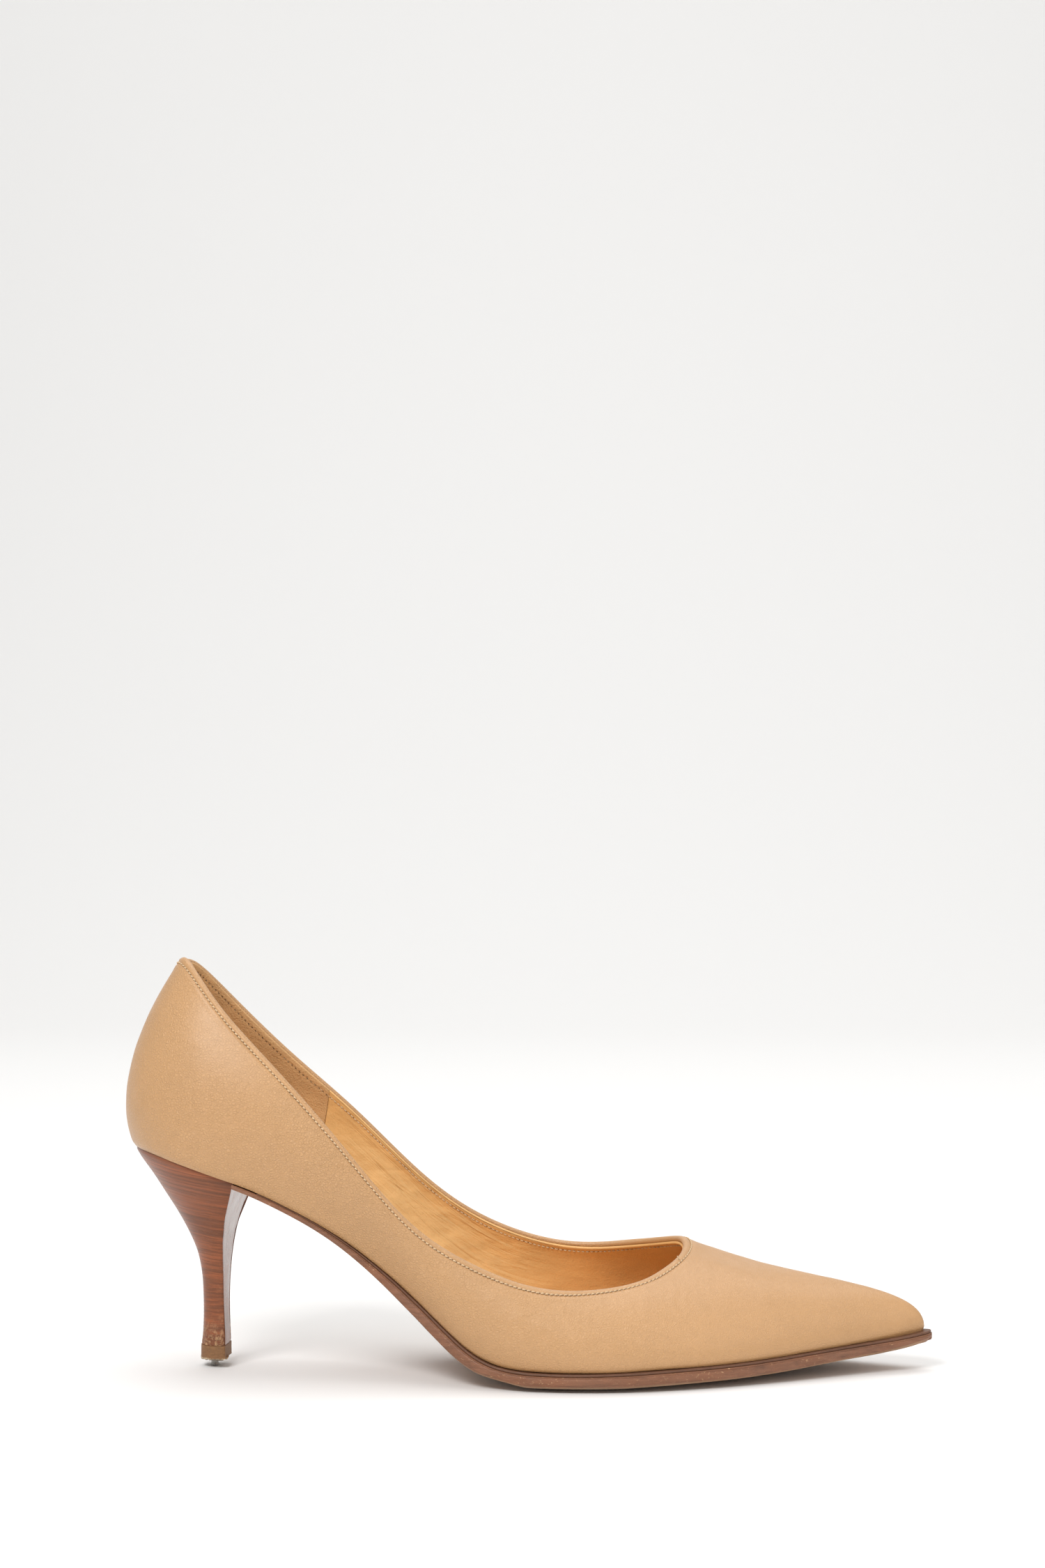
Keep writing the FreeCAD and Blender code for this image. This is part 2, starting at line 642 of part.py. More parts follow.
def heel_sections(name, draw):
    """Body lofted through the heel's sections; draw fills each section's sketch."""
    body = doc.addObject("PartDesign::Body", name)
    sketches = []
    for number, section in enumerate(HEEL_SECTIONS):
        level, centre, radius, front, half = section_values(section)
        sketch = flat_sketch(body, "%s_section_%d" % (name, number))
        sketch.setExpression("AttachmentOffset.Base.z", level)
        draw(sketch, centre, radius, front, half)
        sketches.append(sketch)
    loft = body.newObject("PartDesign::AdditiveLoft", name + "_loft")
    loft.Profile = sketches[0]
    loft.Sections = sketches[1:]
    body.Placement = HEEL_HOME
    return body


def heel_block(name, round_in, front_in):
    """Heel-shaped body, its round side and its breast moved in by two lengths."""
    def draw(sketch, centre, radius, front, half):
        dee(sketch, centre, "%s - (%s)" % (radius, round_in), "%s - (%s)" % (front, front_in))
    return heel_sections(name, draw)


def heel_front(name, side_in):
    """Slab that lines the heel's breast, narrower than it on each side."""
    def draw(sketch, centre, radius, front, half):
        slat(sketch, "%s - Sizes.cover_thick" % front, front, "%s - (%s)" % (half, side_in))
    return heel_sections(name, draw)


def above_seat(depth):
    """Everything above a surface at a depth under the feather edge, heel end."""
    edge = side_edge(-6.0, 60.0, always(depth))
    start, end = edge.valueAt(edge.FirstParameter), edge.valueAt(edge.LastParameter)
    corners = [end, Vector(end.x, 0, TALL), Vector(start.x, 0, TALL), start]
    lines = [Part.makeLine(a, b) for a, b in zip(corners[:-1], corners[1:])]
    face = Part.Face(Part.Wire([edge] + lines))
    half = size("ball_width")
    face.translate(Vector(0, -half, 0))
    return face.extrude(Vector(0, 2 * half, 0))


def tool(name, shape):
    """Hidden shape that others are cut with."""
    cutter = doc.addObject("Part::Feature", name)
    cutter.Shape = shape
    cutter.Placement = HOME
    return cutter


def cut_from(name, base, *cutters):
    """Sub-part left of base once every cutter is taken away."""
    for number, cutter in enumerate(cutters, start=1):
        step = doc.addObject("Part::Cut", name if number == len(cutters)
                             else "%s_step_%d" % (name, number))
        step.Base = base
        step.Tool = cutter
        base = step
    base.Label = name
    NODES.append(base)
    return base


def bound(kind, name, place=None, **expressions):
    """Part primitive with its sizes bound to the sheet."""
    part = doc.addObject("Part::" + kind, name)
    for prop, expression in expressions.items():
        part.setExpression(prop, expression)
    part.Placement = place if place else HOME
    return part


def standing(x, y, z):
    """Upright placement at a point of the heel."""
    return Placement(HOME.Base + Vector(x, y, z), Rotation())


COVER = "Sizes.cover_thick"
COVER_GAP = "Sizes.cover_thick + Sizes.glue_gap"
heel_outer = heel_block("heel_outer", "0", "0")
heel_hollow = heel_block("heel_hollow", COVER, "0 - 1")
heel_body = heel_block("heel_body", COVER_GAP, COVER_GAP)
breast_body = heel_front("breast_body", "Sizes.cover_thick + 3 * Sizes.glue_gap")
seat_space = tool("seat_space", above_seat(GAP))

LIFT_TOP_MM = size("dowel_proud") + size("lift_thick")
AXIS_X = HEEL_AXIS * LENGTH_GRADE
SEAT_AXIS_Z = feather_at(AXIS_X)
SCREW_LENGTH = 18.0
TUBE_TOP = SEAT_AXIS_Z - SCREW_LENGTH - 4.0
DOWEL_DEEP = 12.0
INSOLE_FLOOR = -(size("upper_thick") + GAP)
INSOLE_TOP = INSOLE_FLOOR - size("insole_thick")

tube_rod = bound("Cylinder", "tube_rod", standing(AXIS_X, 0, LIFT_TOP_MM + GAP),
                 Radius="Sizes.tube_outer / 2")
tube_rod.Height = TUBE_TOP - LIFT_TOP_MM
tube_bore = bound("Cylinder", "tube_bore", standing(AXIS_X, 0, 0),
                  Radius="Sizes.dowel_bore / 2 + Sizes.glue_gap")
tube_bore.Height = TUBE_TOP + 10
tube_seat = bound("Cylinder", "tube_seat", standing(AXIS_X, 0, 0),
                  Radius="Sizes.tube_outer / 2 + Sizes.glue_gap")
tube_seat.Height = TUBE_TOP + GAP * 2

dowel = bound("Cylinder", "top_lift_dowel", standing(AXIS_X, 0, 0), Radius="Sizes.dowel_bore / 2",
              Height="Sizes.dowel_proud + Sizes.lift_thick + %.1f" % DOWEL_DEEP)
dowel.Label = "top_lift_dowel"
NODES.append(dowel)

# Heel attaching screw, turned about its axis, driven down through the insole.
SCREW_HEAD = 3.2
screw = doc.addObject("PartDesign::Body", "heel_screw")
profile = flat_sketch(screw, "screw_profile", "XZ_Plane")
radius = size("screw_bore") / 2
steps = [Vector(0, 0, 0), Vector(radius + 1.8, 0, 0), Vector(radius, -2.2, 0),
         Vector(radius, 3.0 - SCREW_LENGTH, 0), Vector(0, -SCREW_LENGTH, 0)]
for start, end in zip(steps, steps[1:] + steps[:1]):
    profile.addGeometry(Part.LineSegment(start, end), False)
for line in range(len(steps)):
    profile.addConstraint(Sketcher.Constraint("Coincident", line, 2, (line + 1) % len(steps), 1))
profile.addConstraint(Sketcher.Constraint("DistanceX", -1, 1, 2, 2, radius))
profile.setExpression("Constraints[%d]" % (profile.ConstraintCount - 1), "Sizes.screw_bore / 2")
turned = screw.newObject("PartDesign::Revolution", "screw_turned")
turned.Profile = profile
turned.ReferenceAxis = (profile, ["V_Axis"])
turned.Angle = 360.0


def on_seat(x, y, depth):
    """Placement square to the foot bed at x, y, at a depth under the feather edge."""
    slope = (feather_at(x + 0.5) - feather_at(x - 0.5))
    place = side_point(x, depth)
    return Placement(HOME.Base + Vector(place.x, y, place.z),
                     Rotation(Vector(0, 1, 0), -math.degrees(math.atan(slope))))


HEAD_SINK = 0.15
screw.Placement = on_seat(AXIS_X, 0, INSOLE_TOP + HEAD_SINK)
screw.Label = "heel_screw"
NODES.append(screw)

# Heel nails round the screw, heads let into the insole.
NAIL_SPOTS = ((20.0, -11.5), (20.0, 11.5), (31.0, -12.0), (31.0, 12.0))
NAIL_LENGTH, NAIL_HEAD_THICK = 10.0, 0.6
nails, nail_tools = [], []
for number, (x, y) in enumerate(NAIL_SPOTS, start=1):
    place = on_seat(x * LENGTH_GRADE, y * WIDTH_GRADE, INSOLE_TOP + HEAD_SINK)
    down = place.Rotation.multVec(Vector(0, 0, -1))
    foot = Placement(place.Base + down * NAIL_LENGTH, place.Rotation)
    collar = Placement(place.Base + down * NAIL_HEAD_THICK, place.Rotation)
    stem = bound("Cylinder", "nail_stem_%d" % number, foot, Radius="Sizes.nail_bore / 2")
    stem.Height = NAIL_LENGTH - NAIL_HEAD_THICK / 2
    head = bound("Cylinder", "nail_head_%d" % number, collar, Radius="Sizes.nail_bore")
    head.Height = NAIL_HEAD_THICK
    nail = doc.addObject("Part::Fuse", "nail_%d" % number)
    nail.Base, nail.Tool = stem, head
    nails.append(nail)
nail_group = doc.addObject("Part::Compound", "heel_nails")
nail_group.Links = nails
nail_group.Label = "heel_nails"
NODES.append(nail_group)

cut_from("heel_wrap", heel_outer, heel_hollow, seat_space)
cut_from("heel_breast_cover", breast_body, seat_space)
cut_from("heel_core", heel_body, seat_space, tube_seat, screw, nail_group)
cut_from("heel_tube", tube_rod, tube_bore)

# Top lift: a pad the size of the heel's foot, worn round below.
lift = doc.addObject("PartDesign::Body", "lift_body")
lift_sketch = flat_sketch(lift, "lift_plan")
LIFT_PROUD = 0.15
foot_centre, foot_radius, foot_front = section_values(HEEL_SECTIONS[0])[1:4]
dee(lift_sketch, foot_centre, "%s + %.2f" % (foot_radius, LIFT_PROUD),
    "%s + %.2f" % (foot_front, LIFT_PROUD))
lift_sketch.setExpression("AttachmentOffset.Base.z", "Sizes.dowel_proud")
lift_pad = lift.newObject("PartDesign::Pad", "lift_pad")
lift_pad.Profile = lift_sketch
lift_pad.setExpression("Length", "Sizes.lift_thick - Sizes.glue_gap")
doc.recompute()
worn_edge = lift.newObject("PartDesign::Chamfer", "lift_wear")
low_face = [i for i, f in enumerate(lift_pad.Shape.Faces, start=1)
            if abs(f.CenterOfMass.z - lift_pad.Shape.BoundBox.ZMin) < 1e-6][0]
worn_edge.Base = (lift_pad, ["Face%d" % low_face])
worn_edge.setExpression("Size", "Sizes.lift_thick / 5")
lift.Placement = HEEL_HOME
cut_from("top_lift", lift, tube_bore)


# ------------------------------------------------- bottom of the shoe
def rand_depth(x):
    """Thickness of the rand at x; it is pared thin towards the heel."""
    return size("rand_thick") * between(((37, 0.35), (60, 0.5), (95, 1.0), (240, 1.0)),
                                        x / LENGTH_GRADE)


def sole_depth(x):
    """Depth of the underside of the outsole under the feather edge."""
    share = between(((50, 0.0), (65, 0.06), (75, 0.2), (85, 0.4), (95, 0.6), (105, 0.82),
                     (116, 1.0), (190, 1.0), (211, 0.88), (228, 0.62), (240.4, 0.23)),
                    x / LENGTH_GRADE)
    thick = size("waist_thick") + (size("sole_thick") - size("waist_thick")) * share
    return rand_depth(x) + thick


def sole_edge(x_end):
    """Share of the sole's reach at x, with the longer reach of the toe."""
    x = x_end / LENGTH_GRADE
    side = between(((37, 0.1), (60, 0.3), (100, 0.8), (120, 1.0), (240, 1.0)), x)
    toe = ease(x, 216.0, 238.0)
    return size("sole_reach") * side * (1 - toe) + size("toe_reach") * toe


TREAD_START, TREAD_END = 121.0 * LENGTH_GRADE, 149.0 * LENGTH_GRADE
SOLE_END = size("shoe_length") + 6.0
BREAST_GAP = 0.4


def outsole_blank():
    """Outsole as wide as the shoe: pared waist, flat tread, rising toe."""
    start = BREAST_X - 6.0
    top = side_edge(start, SOLE_END, rand_depth)
    waist_points = [side_point(x, sole_depth(x))
                    for x in spread(start, 108.0 * LENGTH_GRADE, 14)]
    waist_points += [Vector(TREAD_START, 0, 0)]
    waist = Part.BSplineCurve()
    waist.interpolate(waist_points, InitialTangent=Vector(20, 0, -7), FinalTangent=Vector(12, 0, 0))
    toe_points = [Vector(TREAD_END, 0, 0)]
    toe_points += [side_point(x, sole_depth(x))
                   for x in spread(175.0 * LENGTH_GRADE, SOLE_END, 8)]
    toe = Part.BSplineCurve()
    toe.interpolate(toe_points, InitialTangent=Vector(24, 0, 0), FinalTangent=Vector(9, 0, 1.2))
    edges = [top, Part.makeLine(top.valueAt(top.LastParameter), toe_points[-1]),
             toe.toShape(), Part.makeLine(toe_points[0], waist_points[-1]), waist.toShape(),
             Part.makeLine(waist_points[0], top.valueAt(top.FirstParameter))]
    face = Part.Face(Part.Wire(Part.__sortEdges__(edges)))
    half = size("ball_width")
    face.translate(Vector(0, -half, 0))
    return face.extrude(Vector(0, 2 * half, 0))


def behind_breast(gap):
    """Block that holds everything behind the heel's breast line."""
    block = Part.makeBox(TALL, 2 * size("ball_width"), TALL,
                         Vector(BREAST_X + gap - AXIS_X - TALL, -size("ball_width"), 0))
    block.rotate(Vector(0, 0, 0), UP, HEEL_TURN)
    block.translate(Vector(AXIS_X, 0, 0))
    return block


WALL_TOTAL = (STIFF_DEPTH + size("stiffener_thick") + GAP + size("lining_thick"))
BED_INSET = WALL_TOTAL + 0.9
MARGIN_ROOM = 0.5
FILLER_START = 100.0 * LENGTH_GRADE
BOARD_END = FILLER_START - 0.6

outsole = one_solid(outsole_blank().common(plan_out(sole_edge)).cut(behind_breast(BREAST_GAP)))
add_form("outsole", outsole)

RAND_START = BREAST_X + 6.0
RAND_TUCK = 0.35
rand_plan = plan_out(lambda x: sole_edge(x) - RAND_TUCK).cut(plan_margin(0.0))
add_form("sole_rand", one_solid(layer(RAND_START, SOLE_END, always(GAP / 2),
                                      lambda x: rand_depth(x) - GAP / 2, rand_plan)))

filler = slab(FILLER_START, SOLE_END, always(INSOLE_FLOOR + GAP), lambda x: rand_depth(x) - GAP)
add_form("bottom_filler", one_solid(filler.common(plan_margin(MARGIN_ROOM))))


SHANK_START = 17.5 * LENGTH_GRADE
SHANK_END = SHANK_START + size("shank_length")
SHANK_MIDDLE = spine(60.0 * LENGTH_GRADE).y
SHANK_SIDE_ROOM, SHANK_END_ROOM = 0.3, 2.0
RIVET_SPOTS = (46.0, 68.0, 90.0)


def shank_lane(side_room, end_room):
    """Upright block that holds the shank, with room round it."""
    half = size("shank_width") / 2 + side_room
    return Part.makeBox(SHANK_END - SHANK_START + 2 * end_room, 2 * half, TALL,
                        Vector(SHANK_START - end_room, SHANK_MIDDLE - half, -BELOW_FLOOR))


def rivet_rods(extra):
    """Rivets through shank and insole, square to the foot bed."""
    rods = []
    for x in RIVET_SPOTS:
        place = on_seat(x * LENGTH_GRADE, SHANK_MIDDLE, INSOLE_FLOOR + GAP + size("shank_thick"))
        axis = place.Rotation.multVec(UP)
        foot = place.Base - HOME.Base
        rods.append(Part.makeCylinder(size("rivet_bore") / 2 + extra,
                                      size("shank_thick") + size("insole_thick"), foot, axis))
    return Part.makeCompound(rods)


def local(part):
    """Shape of a placed object, carried back into the frame of the last."""
    shape = part.Shape.copy()
    shape.translate(HOME.Base * -1)
    return shape


doc.recompute()
screw_shape, nail_shape = local(screw), local(nail_group)
rivet_holes = rivet_rods(GAP / 2)
insole = layer(2.0, SOLE_END, always(INSOLE_TOP), always(INSOLE_FLOOR), plan_bed(BED_INSET))
insole = insole.cut(rivet_holes).cut(screw_shape).cut(nail_shape)
add_form("insole_board", one_solid(insole))
shank = slab(SHANK_START - SHANK_END_ROOM, SHANK_END + SHANK_END_ROOM, always(INSOLE_FLOOR + GAP),
             always(INSOLE_FLOOR + GAP + size("shank_thick"))).common(shank_lane(0.0, 0.0))
shank = shank.cut(rivet_holes).cut(screw_shape).cut(nail_shape)
add_form("steel_shank", one_solid(shank))
add_form("shank_rivets", rivet_rods(0.0))
board = slab(4.0, BOARD_END, always(INSOLE_FLOOR + GAP), always(-GAP))
board = board.common(plan_margin(MARGIN_ROOM)).cut(shank_lane(SHANK_SIDE_ROOM, SHANK_END_ROOM))
board = board.cut(screw_shape).cut(nail_shape)
add_form("shank_board", Part.makeCompound(board.Solids))


# ------------------------------------------------- sock and pads
def pad_rise(x_here):
    """Rise of the sock over the heel pad and the forepart pad."""
    x = x_here / LENGTH_GRADE
    heel = ease(x, -6.0, 10.0) * (1 - ease(x, 48.0, 70.0))
    fore = 0.6 * ease(x, 108.0, 124.0) * (1 - ease(x, 158.0, 178.0))
    return size("pad_thick") * max(heel, fore)


def sock_floor(x):
    """Depth of the underside of the sock."""
    return INSOLE_TOP - GAP - pad_rise(x)


SOCK_END = 205.0 * LENGTH_GRADE
PAD_INSET = BED_INSET + 3.0
add_form("sock_lining", one_solid(layer(2.0, SOCK_END,
                                        lambda x: sock_floor(x) - size("sock_thick"),
                                        sock_floor, plan_bed(BED_INSET))))
for pad_name, pad_from, pad_to in (("heel_pad", 9.0, 66.0), ("forepart_pad", 112.0, 174.0)):
    add_form(pad_name, one_solid(layer(pad_from * LENGTH_GRADE, pad_to * LENGTH_GRADE,
                                       lambda x: sock_floor(x) + 1.5 * GAP,
                                       always(INSOLE_TOP - GAP), plan_bed(PAD_INSET))))

doc.recompute()
for item in doc.Objects:
    if {"Invalid", "Error"} & set(item.State):
        raise RuntimeError("%s did not build: %s" % (item.Name, item.State))
for node in NODES:
    if node.Shape.isNull() or not node.Shape.isValid():
        raise RuntimeError("%s has no sound shape" % node.Label)
os.makedirs("parts", exist_ok=True)
for node in NODES:
    node.Shape.exportStep("parts/" + node.Label + ".step")
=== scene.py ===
"""High heel pump: leather, thread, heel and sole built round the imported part, in metres."""

import itertools
import math

import bmesh
import bpy
import numpy as np
from bpy.props import FloatProperty, FloatVectorProperty, PointerProperty
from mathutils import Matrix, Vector


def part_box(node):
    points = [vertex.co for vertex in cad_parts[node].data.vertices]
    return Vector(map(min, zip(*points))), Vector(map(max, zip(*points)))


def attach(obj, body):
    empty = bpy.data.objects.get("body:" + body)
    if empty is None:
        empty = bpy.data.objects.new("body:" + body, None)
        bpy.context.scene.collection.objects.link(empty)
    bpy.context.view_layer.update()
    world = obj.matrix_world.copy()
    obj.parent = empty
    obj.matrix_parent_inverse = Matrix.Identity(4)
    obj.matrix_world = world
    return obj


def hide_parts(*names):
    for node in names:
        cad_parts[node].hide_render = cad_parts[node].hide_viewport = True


bl_info = {
    "name": "High Heel Pump",
    "version": (1, 0, 0),
    "blender": (4, 5, 0),
    "location": "3D View > Sidebar > High Heel Pump",
    "description": "Builds a leather high heel pump with a stacked heel round its packed part",
    "category": "Object",
}

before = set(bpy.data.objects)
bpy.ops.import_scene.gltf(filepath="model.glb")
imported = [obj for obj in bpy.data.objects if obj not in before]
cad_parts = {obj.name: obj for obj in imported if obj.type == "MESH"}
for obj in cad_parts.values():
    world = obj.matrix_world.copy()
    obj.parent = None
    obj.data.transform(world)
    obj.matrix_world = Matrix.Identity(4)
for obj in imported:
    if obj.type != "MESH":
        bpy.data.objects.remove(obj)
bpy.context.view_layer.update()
BODY = "root"

# ------------------------------------------------- form of the last, in millimetres
FEATHER_SIDE = (
    (0.0, 66.6), (10.0, 65.3), (20.0, 62.6), (30.0, 59.4), (40.0, 55.9),
    (50.0, 51.3), (60.0, 46.0), (70.0, 39.6), (80.0, 32.0), (90.0, 23.4),
    (98.0, 16.2), (105.0, 10.6), (111.0, 7.6), (118.0, 6.1), (127.0, 5.6),
    (145.0, 5.7), (165.0, 6.3), (186.0, 7.0), (211.0, 8.8), (228.0, 10.2),
    (240.4, 11.8),
)
# round the last from the back seam: feather edge, lower handle, top edge, upper handle
STATIONS = (
    ((2.9, 0.0), (-5.1, 0.0, 11.0), (17.2, 0.0, 121.7), (-17.2, 0.0, -24.6)),
    ((7.5, -14.0), (-3.5, -3.2, 11.0), (20.4, -9.0, 121.2), (-12.4, -8.5, -26.0)),
    ((20.0, -24.0), (-1.0, -3.5, 11.0), (31.0, -17.2, 108.6), (-6.0, -9.3, -20.5)),
    ((40.0, -26.0), (0.0, -3.5, 9.0), (47.4, -22.9, 91.7), (-3.4, -7.3, -14.5)),
    ((65.0, -25.0), (0.5, -3.5, 8.0), (67.3, -27.2, 70.2), (-0.8, -4.0, -8.0)),
    ((88.0, -27.0), (0.0, -4.5, 6.5), (87.0, -30.2, 48.3), (0.0, -3.5, -8.0)),
    ((105.0, -33.0), (0.0, -5.5, 6.4), (106.5, -31.7, 35.8), (0.0, -5.7, -7.5)),
    ((128.0, -38.0), (0.0, -4.3, 5.6), (127.5, -31.0, 28.9), (0.5, -7.5, -6.0)),
    ((155.0, -36.2), (-0.5, -4.0, 6.0), (148.5, -24.0, 28.8), (2.0, -9.0, -3.8)),
    ((185.0, -25.3), (-1.0, -4.0, 7.5), (159.0, -15.8, 31.6), (9.0, -7.0, -4.2)),
    ((212.0, -11.3), (0.0, -4.3, 9.5), (164.3, -9.0, 34.5), (16.5, -4.6, -4.6)),
    ((230.5, -1.8), (1.3, -2.5, 12.0), (166.3, -3.6, 36.2), (24.0, -2.0, -8.0)),
    ((238.0, 3.2), (2.6, 0.0, 15.5), (166.9, 1.0, 37.6), (29.5, 2.0, -11.6)),
    ((229.5, 8.4), (1.5, 1.8, 12.0), (166.0, 5.4, 38.6), (24.0, 2.6, -9.6)),
    ((210.0, 18.4), (0.0, 3.8, 9.5), (163.6, 9.8, 38.3), (17.0, 5.0, -6.8)),
    ((183.0, 31.0), (-0.5, 3.8, 8.0), (158.6, 15.2, 37.0), (9.0, 8.0, -4.4)),
    ((157.0, 36.2), (-0.5, 3.8, 6.0), (149.3, 21.5, 35.2), (3.0, 9.5, -4.6)),
    ((130.0, 30.5), (0.0, 5.3, 6.3), (130.5, 26.6, 34.3), (0.5, 6.9, -6.3)),
    ((107.0, 21.5), (-0.5, 7.0, 6.5), (108.5, 26.8, 40.6), (0.0, 5.7, -8.0)),
    ((88.0, 16.5), (-0.5, 6.5, 6.5), (88.3, 24.8, 54.0), (-0.5, 4.5, -9.0)),
    ((64.0, 18.0), (0.5, 5.5, 8.0), (67.6, 22.8, 74.0), (-0.8, 4.4, -10.0)),
    ((40.0, 23.5), (0.0, 4.0, 9.0), (48.3, 20.4, 91.4), (-4.0, 6.8, -14.0)),
    ((20.0, 23.2), (-1.0, 3.2, 11.0), (31.4, 16.0, 108.3), (-6.0, 9.2, -20.0)),
    ((7.5, 13.6), (-3.5, 3.2, 11.0), (20.4, 8.4, 119.9), (-12.4, 8.6, -24.7)),
)
ROUND = len(STATIONS)
TOE_STATION = 12
SPINE = ((24, 0), (50, -2.5), (80, -5.5), (105, -5.5), (135, -3), (160, 0), (190, 3), (214, 3.4))
# heel sections: height, back, front, half width at the breast
HEEL_SECTIONS = (
    (6.7, 23.0, 30.9, 4.85), (10.0, 23.4, 30.8, 4.7), (16.0, 23.6, 30.6, 4.7),
    (22.0, 23.5, 30.5, 5.2), (28.0, 23.1, 30.6, 6.2), (34.0, 21.9, 30.9, 8.0),
    (40.0, 19.5, 31.5, 10.8), (46.0, 16.3, 32.9, 14.6), (52.0, 12.6, 35.0, 19.0),
    (58.0, 8.8, 37.0, 23.3), (64.0, 4.6, 38.5, 25.2), (70.0, 1.5, 39.5, 26.0),
)
HEEL_AXIS = 26.9
HEEL_TURN = math.radians(-3.5)
HEEL_FOOT = 6.7
BREAST_X = 36.8
UPPER_THICK = 1.2
FOLD_THICK = 1.78
LINING_OUT = 1.83
LINING_THICK = 0.8
GRIP_END = 3.6
SOLE_TIP = 240.4
STATION_RUN = 14.0
NO_STITCH = 60.0
SOCK_FLOOR = 3.32
SOCK_THICK = 0.8
PAD_FLOOR = 3.34
SOCK_DISH = 0.9


def between(table, x):
    """Smooth value of a table of (x, value) pairs at each x, flat past its ends."""
    xs, ys = np.array(table, float).T
    last = len(xs) - 1
    slopes = np.array([(ys[min(i + 1, last)] - ys[max(i - 1, 0)])
                       / (xs[min(i + 1, last)] - xs[max(i - 1, 0)]) for i in range(last + 1)])
    x = np.clip(np.asarray(x, float), xs[0], xs[-1])
    i = np.clip(np.searchsorted(xs, x, side="right") - 1, 0, last - 1)
    run = xs[i + 1] - xs[i]
    t = (x - xs[i]) / run
    return ((1 + 2 * t) * (1 - t) ** 2 * ys[i] + t * t * (3 - 2 * t) * ys[i + 1]
            + t * (1 - t) ** 2 * run * slopes[i] - t * t * (1 - t) * run * slopes[i + 1])


def ease(value, start, stop):
    """Smooth step from 0 at start to 1 at stop."""
    t = np.clip((np.asarray(value, float) - start) / (stop - start), 0.0, 1.0)
    return t * t * (3 - 2 * t)


def near(value, centre, width):
    """Bell that is 1 at centre and falls off over width."""
    return np.exp(-((np.asarray(value, float) - centre) / width) ** 2)


def round_trip(rows):
    """C2 spline through a closed list of points, as a function of the station u."""
    rows = np.array(rows, float)
    pulls = np.zeros_like(rows)
    for _ in range(40):
        pulls = (3 * (np.roll(rows, -1, 0) - np.roll(rows, 1, 0))
                 - np.roll(pulls, 1, 0) - np.roll(pulls, -1, 0)) / 4

    def at(u):
        u = np.asarray(u, float)
        i = np.floor(u).astype(int) % len(rows)
        j = (i + 1) % len(rows)
        t = (u - np.floor(u))[..., None]
        return ((1 + 2 * t) * (1 - t) ** 2 * rows[i] + t * t * (3 - 2 * t) * rows[j]
                + t * (1 - t) ** 2 * pulls[i] - t * t * (1 - t) * pulls[j])
    return at


def feather_height(x):
    """Height of the feather edge at x."""
    return between(FEATHER_SIDE, x)


def guide_lines():
    """Four closed guides round the last: feather edge, two handles, top edge."""
    rows = [[], [], [], []]
    for foot, low_pull, edge, high_pull in STATIONS:
        base = np.array((foot[0], foot[1], float(feather_height(foot[0]))))
        top = np.array(edge)
        for row, place in zip(rows, (base, base + low_pull, top + high_pull, top)):
            row.append(place)
    return [round_trip(row) for row in rows]


GUIDES = guide_lines()


def on_last(guides, v):
    """Point of the skin between four guide rows; v runs from feather to top edge."""
    foot, low, high, top = guides
    v = v[..., None]
    w = 1 - v
    return foot * w ** 3 + low * (3 * v * w * w) + high * (3 * v * v * w) + top * v ** 3


def guides_at(u):
    """The four guide points at each u."""
    foot, low, high, top = (guide(u) for guide in GUIDES)
    foot = foot.copy()
    foot[..., 2] = feather_height(foot[..., 0])
    return foot, low, high, top


class Ribs:
    """Rows of places on the last's skin, one rib for each u."""
    STEP = 0.02

    def __init__(self, u):
        self.u = np.asarray(u, float)
        self.here = guides_at(self.u)
        self.before = guides_at(self.u - self.STEP)
        self.after = guides_at(self.u + self.STEP)
        self.shares = np.linspace(0, 1, 90)
        line = on_last(self.here, np.repeat(self.shares[:, None], len(self.u), 1))
        steps = np.linalg.norm(np.diff(line, axis=0), axis=2)
        self.lengths = np.vstack([np.zeros(len(self.u)), np.cumsum(steps, 0)])

    def rise(self):
        """Length of each rib from the feather edge to the top edge."""
        return self.lengths[-1]

    def v_at(self, climbed):
        """v at a length climbed from the feather edge, for rows of lengths."""
        columns = [np.interp(climbed[:, c], self.lengths[:, c], self.shares)
                   for c in range(len(self.u))]
        return np.array(columns).T

    def normal(self, v):
        """Outward unit normals."""
        v = np.clip(v, self.STEP, 1 - self.STEP)
        along = on_last(self.after, v) - on_last(self.before, v)
        up = on_last(self.here, v + self.STEP) - on_last(self.here, v - self.STEP)
        cross = np.cross(along, up)
        return cross / np.linalg.norm(cross, axis=2, keepdims=True)

    def place(self, v, depth):
        """Points at a depth under the skin."""
        return on_last(self.here, v) - self.normal(v) * depth[..., None]


def fit_to_part():
    """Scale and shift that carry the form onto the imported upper."""
    u = np.linspace(0, ROUND, 600)
    cloud = on_last(guides_at(u), np.repeat(np.linspace(0, 1, 60)[:, None], len(u), 1))
    low, high = cloud.min((0, 1)), cloud.max((0, 1))
    box_low, box_high = (np.array(corner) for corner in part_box("upper_leather"))
    scale = (box_high - box_low) / (high - low)
    return scale, box_low - low * scale


FIT_SCALE, FIT_SHIFT = fit_to_part()


def placed(points):
    """Points of the form in the row frame, in metres."""
    return np.asarray(points) * FIT_SCALE + FIT_SHIFT


